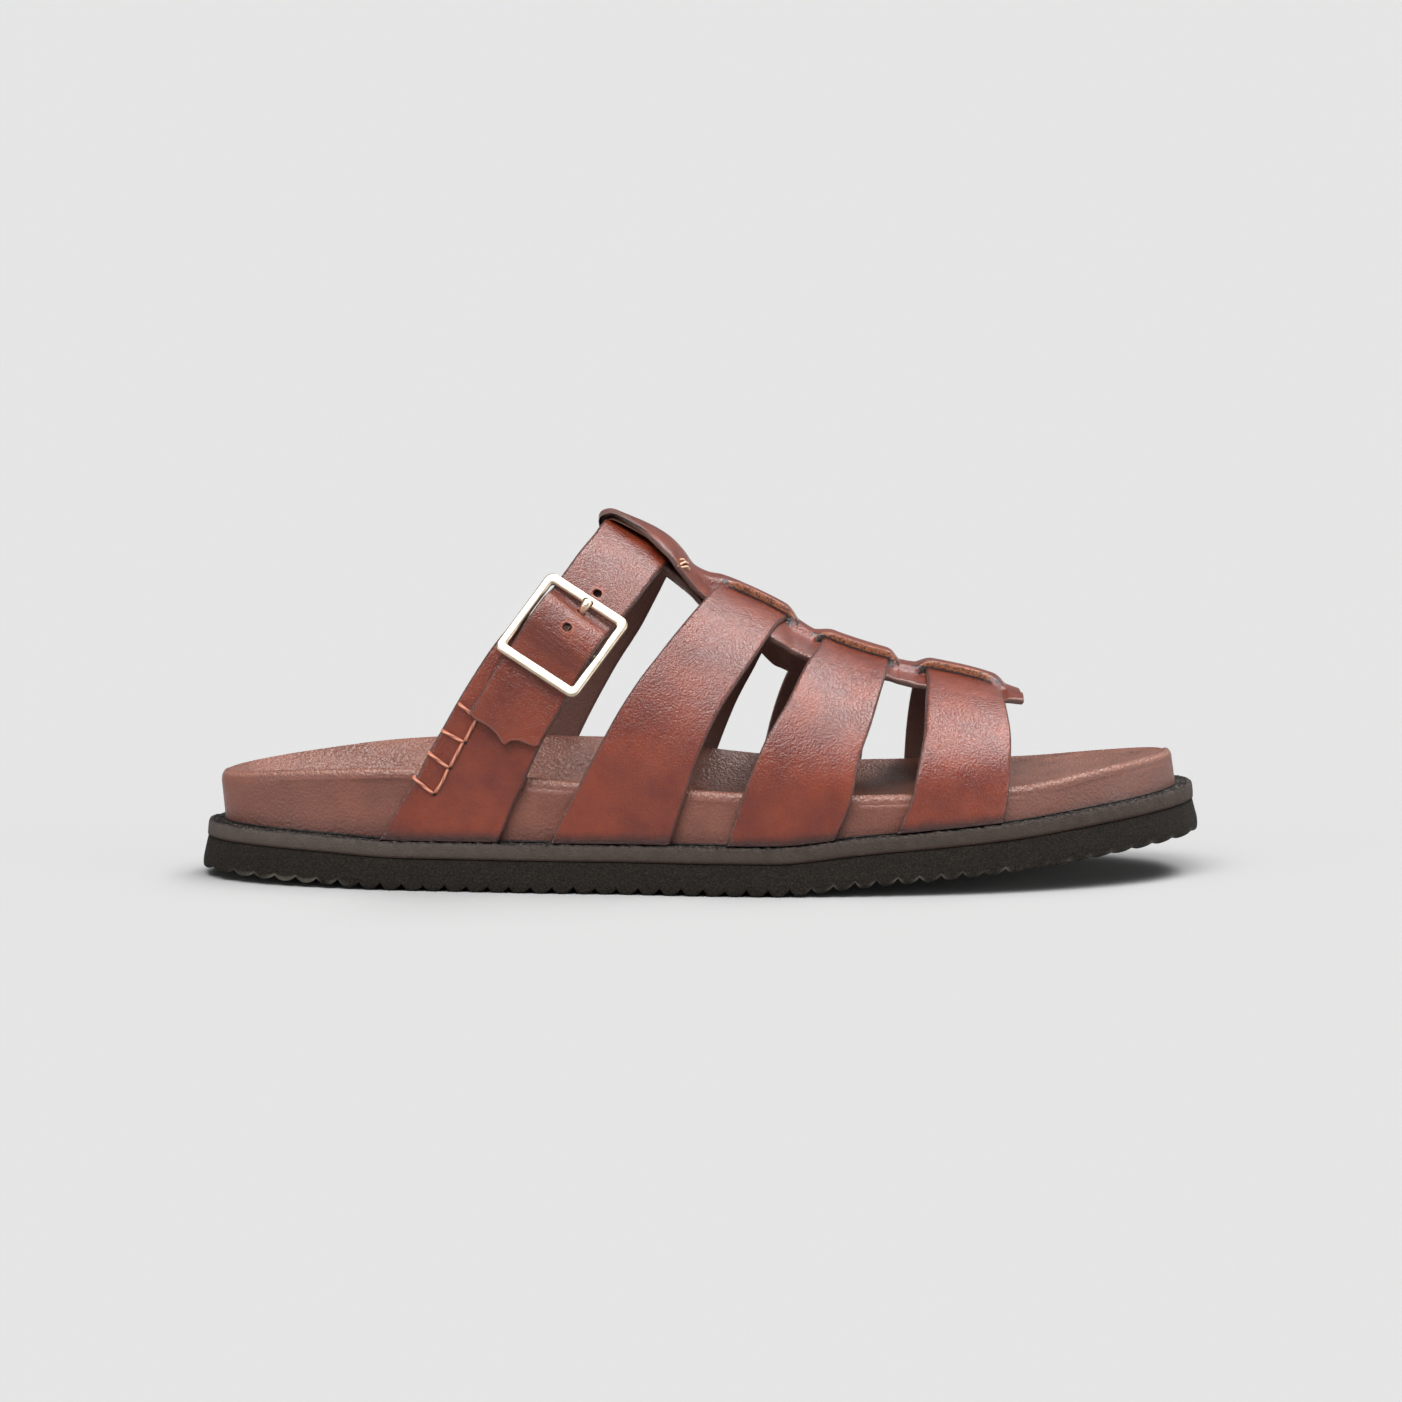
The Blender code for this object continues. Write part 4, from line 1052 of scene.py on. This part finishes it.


# Three punched holes take the prong. Their mouths are rubbed orange; their near-black
# walls and the dark ring painted round each mouth are painted shade. The middle one
# leans with the prong.
HOLE_RADIUS = 1.3
HOLE_PITCH = 8.0
HOLE_ALONG = 3.4 - BAR_SPAN / 2
PUNCH_REACH = (-5.0, 9.0)
# The punches' near-black finish is painted shade for the hole walls.
bore_dark = finish_of("hole_wall", Base_Color=paint(40, 15, 10), Roughness=0.9)[0]
place = millimetres(tree)
outer = mask(tree, part_of(tree, place, 1), 8.0, -8.0)
for number, lean in ((-1, 0.0), (0, 0.725), (1, 0.0)):
    along = HOLE_ALONG + number * HOLE_PITCH
    ends = [(0, along - lean * out, out) for out in PUNCH_REACH]
    punch = round_bar(f"punch_{number + 2}", bore_dark, ends, HOLE_RADIUS)
    combine(strap_1, punch, "DIFFERENCE")
    low, high = (buckle_point(*np.array(end, float)) for end in ends)
    axis = unit(high - low)
    gap = vectors(tree, "SUBTRACT", place, low.tolist())
    gap = vectors(tree, "CROSS_PRODUCT", gap, axis.tolist())
    gap = add(tree, "VectorMath", {0: gap}, operation="LENGTH").outputs["Value"]
    ragged = sums(tree, "MULTIPLY_ADD", noise(tree, place, 0.9, 2.0), 0.9, gap)
    rubbed = times(tree, mask(tree, ragged, 3.0, 1.9), outer)
    colour = tint(tree, colour, rubbed, 0.6, paint(150, 66, 34))
    # A dark ring painted round each mouth: painted shade.
    mouth_shade = times(tree, mask(tree, ragged, 2.05, 1.7), outer)
    colour = mix(tree, mouth_shade, colour, paint(56, 20, 12))
dress(tree, shader, colour)
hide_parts("upper")

# ---- Billet --------------------------------------------------------------------
# A short strap of the same hide, cemented on the outer side of the footbed. Its
# upper end is turned round the frame's centre bar and stitched back on itself.
BILLET = np.array([
    (-1.2, -92.1, -57.7),
    (-1.0, -81.2, -50.6),
    (-0.9, -73.1, -45.0),
    (-0.8, -65.2, -38.3),
    (-0.7, -57.3, -32.6),
    (-0.6, -48.2, -26.7),
    (-0.5, -42.0, -21.2),
])
AXLE_OUT = -1.75
LOOP_RADIUS = 2.35
LOOP_BORE = 1.2
LOOP_HALF = 10.2
BORE_HALF = 14.0
turns = np.linspace(-1.2, -0.655, 110)
grid, marks = strap_grid(BILLET, turns, 0.0, skew=lean_of(turns))
billet = surface("billet", grid, hide, marks)
loop = round_bar("billet_loop", hide, ((-LOOP_HALF, 0, AXLE_OUT), (LOOP_HALF, 0, AXLE_OUT)), LOOP_RADIUS)
combine(billet, loop, "UNION")
bore = round_bar("loop_bore", hide, ((-BORE_HALF, 0, AXLE_OUT), (BORE_HALF, 0, AXLE_OUT)), LOOP_BORE)
combine(billet, bore, "DIFFERENCE")
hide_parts("buckle_billet")

# ---- Buckle frame ---------------------------------------------------------------
# A rounded rectangle of cast zinc, plated a pale gold and polished, with a fixed
# centre bar across its back that the billet hides.
FRAME_ACROSS = 28.0
FRAME_OPENING = 22.6
FRAME_SHIFT = 0.4         # the frame sits towards the strap's rear edge
FRAME_END_BAR = 3.0
FRAME_CORNER = 2.6
CORNER_IN = 0.9
BAR_POWER = 3.4           # superellipse power of a bar's rounded section
TABLET_POWER = 3.2
AXLE_RADIUS = 0.95
NOTCH_DEPTH = 0.9         # the prong rests this far below the frame's top face

metal, tree, shader = finish_of("pale_gold", Metallic=1.0)
place = millimetres(tree)
haze = noise(tree, place, 3.0, 4.0, 0.6)
scuffs = noise(tree, vectors(tree, "MULTIPLY", place, (1.0, 6.0, 1.0)), 0.8, 3.0, 0.6)
colour = mix(tree, mask(tree, haze, 0.35, 0.7), paint(190, 172, 150), paint(208, 194, 176))
rough = sums(tree, "MULTIPLY_ADD", mask(tree, scuffs, 0.45, 0.7), 0.10, 0.30)
dress(tree, shader, colour, rough, scuffs, 0.006)

loop_turn = np.linspace(0, 90, 11)
bar_turn = around(24)
half_out = np.array([FRAME_ACROSS / 2, (BAR_SPAN + FRAME_END_BAR) / 2])
half_in = np.array([FRAME_OPENING / 2, (BAR_SPAN - FRAME_END_BAR) / 2])
rings = []
for corner, sign in enumerate(((1, 1), (-1, 1), (-1, -1), (1, -1))):
    angle = np.radians(90 * corner + loop_turn)[:, None]
    ray = np.concatenate([np.cos(angle), np.sin(angle)], 1)
    outer = np.array(sign) * (half_out - FRAME_CORNER) + ray * FRAME_CORNER
    inner = np.array(sign) * (half_in - CORNER_IN) + ray * CORNER_IN
    wide = squared(np.cos(bar_turn), BAR_POWER)
    tall = squared(np.sin(bar_turn), BAR_POWER)
    flat = (outer + inner)[:, None] / 2 + (outer - inner)[:, None] / 2 * wide[:, None]
    rings.append(buckle_point(flat[..., 0] - FRAME_SHIFT, flat[..., 1], tall * FRAME_THICK / 2))
frame_body = surface("buckle_frame_bar", np.concatenate(rings), metal, endless=True, crease=60)
axle = round_bar("centre_bar", metal, ((0.8 - FRAME_ACROSS / 2, 0, AXLE_OUT),
                                       (FRAME_ACROSS / 2 - 0.8, 0, AXLE_OUT)), AXLE_RADIUS)


def tablet(name, finish, along, half_wide, low, high, corner):
    """A small plate with rounded ends across the buckle, from low to high in the out direction."""
    turn = around(40)
    middle, half_long = sum(along) / 2, (along[1] - along[0]) / 2
    wide, long = squared(np.cos(turn), TABLET_POWER), squared(np.sin(turn), TABLET_POWER)
    rows = []
    for inset, out in ((0.3, low), (0.0, low), (0.0, high - corner), (corner * 0.3, high - corner * 0.3),
                       (corner, high), (half_wide * 0.6, high)):
        rows.append(buckle_point(wide * (half_wide - inset), middle + long * (half_long - inset), out))
    return surface(name, np.array(rows), finish, crease=60)


# The prong's seat: a dark plate on the inner half of the top bar, a painted shadow standing for a recess
seat_dark = finish_of("seat_shadow", Base_Color=paint(58, 48, 34), Roughness=0.6, Metallic=0.6)[0]
seat = tablet("prong_seat", seat_dark, (-BAR_SPAN / 2 - 0.45, -BAR_SPAN / 2 + 1.45), 1.65, 0.2,
              FRAME_THICK / 2 + 0.03, 0.02)
for part in (frame_body, axle, seat):
    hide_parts("buckle_frame")

# ---- Buckle prong ----------------------------------------------------------------
# A flattened wire of the same plated metal. Its eye turns on the centre bar, and
# it comes out through the middle hole and rests in a notch of the top bar.
PRONG_RADIUS = 0.8
EYE_RADIUS = LOOP_BORE + PRONG_RADIUS
rest_out = FRAME_THICK / 2 - NOTCH_DEPTH + PRONG_RADIUS + 0.2
eye = np.radians(np.arange(210, 451, 30))
prong_path = [(math.cos(a) * EYE_RADIUS, AXLE_OUT - math.sin(a) * EYE_RADIUS) for a in eye]
prong_path += [
    (-BAR_SPAN / 2 + 6.0, AXLE_OUT - 0.5),
    (-BAR_SPAN / 2 + 4.9, AXLE_OUT + 0.1),
    (-BAR_SPAN / 2 + 2.6, rest_out - 0.9),
    (-BAR_SPAN / 2 + 1.8, rest_out - 0.3),
    (-BAR_SPAN / 2 + 0.6, rest_out - 0.15),
]
knots = np.column_stack([np.arange(len(prong_path)), prong_path])
at = np.concatenate([np.linspace(0, len(knots) - 1.3, 90), len(knots) - 1 - np.array([0.2, 0.1, 0.04, 0.0])])
run, rise = follow(knots, 1, at), follow(knots, 2, at)
slope = unit(np.stack([np.gradient(run), np.gradient(rise)], 1))
flatten = np.clip((-run - (BAR_SPAN / 2 - 4.5)) / 2.0, 0, 1)[:, None]
round_off = np.ones(len(at))
round_off[-4:] = (0.97, 0.88, 0.70, 0.35)
turn = around(24)
half_wide = PRONG_RADIUS * (1 + 0.62 * flatten) * round_off[:, None]
swing = np.cos(turn) * PRONG_RADIUS * round_off[:, None]
grid = buckle_point(np.sin(turn) * half_wide, run[:, None] - slope[:, 1:] * swing,
                    rise[:, None] + slope[:, :1] * swing)
champagne = finish_of("champagne", Base_Color=paint(226, 204, 178), Roughness=0.32, Metallic=1.0)[0]
prong = surface("prong", grid, champagne, crease=50)
tab = tablet("prong_tab", champagne, (-BAR_SPAN / 2 - 0.2, -BAR_SPAN / 2 + 2.4), 1.2, 0.1,
             FRAME_THICK / 2 + 0.35, 0.3)
for part in (prong, tab):
    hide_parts("buckle_prong")

# ---- Hand stitches -----------------------------------------------------------------
# Waxed salmon thread. Four stitches go over the billet's rear edge to a row of
# holes inside it, and three links join the holes. A small cross stitch of pale
# thread holds the tongue.
THREAD = 0.46             # radius
LINK_THREAD = 0.42
PALE_THREAD = 0.30
TWIST = 0.8               # turn of the strands in each millimetre, in radians

thread, tree, shader = finish_of("waxed_thread", Specular_IOR_Level=0.4, Roughness=0.6)
place = millimetres(tree)
lay = mark(tree, "lay")
strands = sums(tree, "SINE", lay)
fuzz = noise(tree, place, 0.25, 3.0, 0.7)
# The grooves between the strands are painted darker: painted shade.
colour = mix(tree, mask(tree, strands, -0.9, 0.5), paint(150, 78, 56), paint(198, 130, 104))
colour = tint(tree, colour, fuzz, 0.35, paint(212, 156, 132))
dress(tree, shader, colour, None, sums(tree, "ADD", strands, fuzz), 0.10)


def cord_grid(points, radius, sides=14, per_mm=6.0):
    """A round cord through points, its ends closed to a small cap, with the lay of its strands.

    The points are joined by a smooth curve. The ring at each place lies square
    to the curve. The lay mark grows by one turn of 2 pi round the ring and with
    the length, so its sine is a two-strand twist.
    """
    points = np.array(points, float)
    reach = np.concatenate([[0], np.cumsum(np.linalg.norm(np.diff(points, axis=0), axis=1))])
    knots = np.column_stack([reach, points])
    at = np.linspace(0, reach[-1], int(reach[-1] * per_mm) + 8)
    line = np.stack([follow(knots, column, at) for column in (1, 2, 3)], 1)
    tangent = unit(np.gradient(line, axis=0))
    turn = around(sides)
    taper = np.clip(np.minimum(at, reach[-1] - at) / radius, 0.15, 1) ** 0.5
    twisted = turn + at[:, None] * TWIST
    width = radius * taper[:, None] * (1 + 0.12 * np.abs(np.sin(twisted)))
    ring = ring_round(tangent, (0.12, 0.95, 0.3), turn)
    return line[:, None] + ring * width[..., None], {"lay": 2 * twisted}


# Rear edge of the billet and the holes in it. along, turn
EDGE_POINTS = ((-81.7, -1.002), (-77.4, -0.956), (-73.4, -0.913), (-68.6, -0.858))
HOLE_POINTS = ((-76.4, -1.047), (-71.9, -0.978), (-67.6, -0.927), (-63.7, -0.878))
TOP = STRAP_THICK
PIT_RADIUS = 0.85
# Each stitch hole is a near-black disc laid on the billet: painted shade for the hole.
pit = finish_of("stitch_hole", Base_Color=paint(34, 12, 8), Roughness=0.9)[0]


def stitch(name, points, finish=thread, radius=THREAD, node="buckle_billet"):
    """A stitch through points given as (along, turn, lift over the last)."""
    grid, marks = cord_grid([on_last(*point) for point in points], radius)
    made = surface(name, grid, finish, marks)
    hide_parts(node)


def along_line(start, stop, shares_and_lifts):
    """Points on the straight line between two (along, turn) places, each at its own lift."""
    return [(start[0] + (stop[0] - start[0]) * share, start[1] + (stop[1] - start[1]) * share, lift)
            for share, lift in shares_and_lifts]


OVER_EDGE = ((-0.02, TOP - 1.7), (-0.05, TOP - 0.3), (0.08, TOP + 0.34), (0.5, TOP + 0.42),
             (0.92, TOP + 0.34), (1.0, TOP - 0.5))
HOLE_TO_HOLE = ((0.04, TOP - 0.5), (0.10, TOP + 0.36), (0.5, TOP + 0.44), (0.88, TOP + 0.36),
                (0.97, TOP - 0.5))
for number, (edge, hole) in enumerate(zip(EDGE_POINTS, HOLE_POINTS)):
    stitch(f"edge_stitch_{number + 1}", along_line(edge, hole, OVER_EDGE))
for number in range(3):
    low, high = HOLE_POINTS[number:number + 2]
    link = along_line((low[0] + 0.4, low[1]), high, HOLE_TO_HOLE)
    stitch(f"hole_link_{number + 1}", link, radius=LINK_THREAD)
for number, (hole_x, hole_turn) in enumerate(HOLE_POINTS):
    spot = on_last(hole_x + 0.35, hole_turn, TOP + np.array([0.0, 0.06]))
    facing = on_last(hole_x, hole_turn, TOP + 1) - on_last(hole_x, hole_turn, TOP)
    disc = ring_round(facing, (0.3, 0.1, 0.9), around(20)) * PIT_RADIUS
    made = surface(f"stitch_hole_{number + 1}", np.array([spot[0] + disc, spot[1] + disc * 0.8]), pit)
    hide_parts("buckle_billet")

# The cross stitch lies on the tongue
pale = finish_of("pale_thread", Specular_IOR_Level=0.4, Base_Color=paint(198, 162, 136), Roughness=0.6)[0]
for number, (start, stop) in enumerate((((-9.3, -0.205), (-6.9, -0.175)), ((-8.2, -0.235), (-5.6, -0.205)),
                                        ((-9.0, -0.240), (-6.2, -0.165)))):
    middle = ((start[0] + stop[0]) / 2, (start[1] + stop[1]) / 2, 5.0)
    stitch(f"cross_stitch_{number + 1}", [(*start, 4.2), middle, (*stop, 4.2)], pale, PALE_THREAD, "upper")

# ---- Set: floor, light and camera -------------------------------------------
# A wide grey floor, a bright soft light overhead, a panel at the front left, a
# weaker light at each end, and a long lens a little above the shoe.
paper = finish_of("paper", Roughness=1.0, Specular_IOR_Level=0.0, Base_Color=(0.336, 0.336, 0.336, 1.0))[0]
FLOOR_REACH = 60.0
corners = np.array([(-1, -1, 0), (1, -1, 0), (1, 1, 0), (-1, 1, 0)]) * FLOOR_REACH
mesh = bpy.data.meshes.new("floor")
mesh.from_pydata(corners.tolist(), [], [(0, 1, 2, 3)])
mesh.materials.append(paper)
floor = bpy.data.objects.new("floor", mesh)
bpy.context.scene.collection.objects.link(floor)

# The light depends on direction alone: roll is the angle from the front horizon
# over the top to the back horizon.
sky = bpy.data.worlds.new("soft studio")
sky.use_nodes = True
tree = sky.node_tree
way = add(tree, "SeparateXYZ", {0: add(tree, "TexCoord").outputs["Generated"]}).outputs
roll = sums(tree, "ARCTAN2", way[2], times(tree, way[1], -1.0))
roll = sums(tree, "DEGREES", roll)
box = times(tree, mask(tree, roll, 40.0, 97.0), mask(tree, roll, 154.0, 102.0))
to_side = sums(tree, "ABSOLUTE", sums(tree, "SUBTRACT", way[0], 0.38))
box = times(tree, box, mask(tree, to_side, 0.26, 0.063))
panel = times(tree, mask(tree, roll, 23.0, 61.0), mask(tree, roll, 89.0, 69.0))
to_side = sums(tree, "ABSOLUTE", sums(tree, "ADD", way[0], 0.17))
panel = times(tree, panel, mask(tree, to_side, 0.49, 0.156))
wings = times(tree, mask(tree, sums(tree, "ABSOLUTE", way[0]), 0.60, 0.84),
             mask(tree, way[1], -0.08, -0.48))
wings = times(tree, wings, mask(tree, way[2], 0.50, 0.20))
toe_end = times(tree, mask(tree, way[0], 0.55, 0.85), mask(tree, way[1], 0.7, 0.3))
toe_end = times(tree, toe_end, mask(tree, way[1], -0.48, -0.08))
toe_end = times(tree, toe_end, mask(tree, way[2], 0.42, 0.10))
wings = sums(tree, "MULTIPLY_ADD", toe_end, 0.65, wings)
BOX_LIGHT = 11.0
PANEL_LIGHT = 9.4
WING_LIGHT = 3.9
FILL_LIGHT = 0.235
background = tree.nodes["Background"]
background.inputs["Color"].default_value = (1.0, 1.0, 1.0, 1.0)
glow = sums(tree, "MULTIPLY_ADD", box, BOX_LIGHT, FILL_LIGHT)
glow = sums(tree, "MULTIPLY_ADD", panel, PANEL_LIGHT, glow)
glow = sums(tree, "MULTIPLY_ADD", wings, WING_LIGHT, glow)
tree.links.new(glow, background.inputs["Strength"])
bpy.context.scene.world = sky

bpy.context.scene.view_settings.view_transform = "Standard"
LOOK_DOWN = math.radians(6.5)
LOOK_AT = 0.0505
DISTANCE = 2.04
lens = bpy.data.cameras.new("camera")
lens.lens = 180
lens.sensor_width = 36
lens.clip_end = 200
camera = bpy.data.objects.new("camera", lens)
camera.location = (0.0, -math.cos(LOOK_DOWN) * DISTANCE, LOOK_AT + math.sin(LOOK_DOWN) * DISTANCE)
camera.rotation_euler = (math.pi / 2 - LOOK_DOWN, 0.0, 0.0)
bpy.context.scene.collection.objects.link(camera)
bpy.context.scene.camera = camera
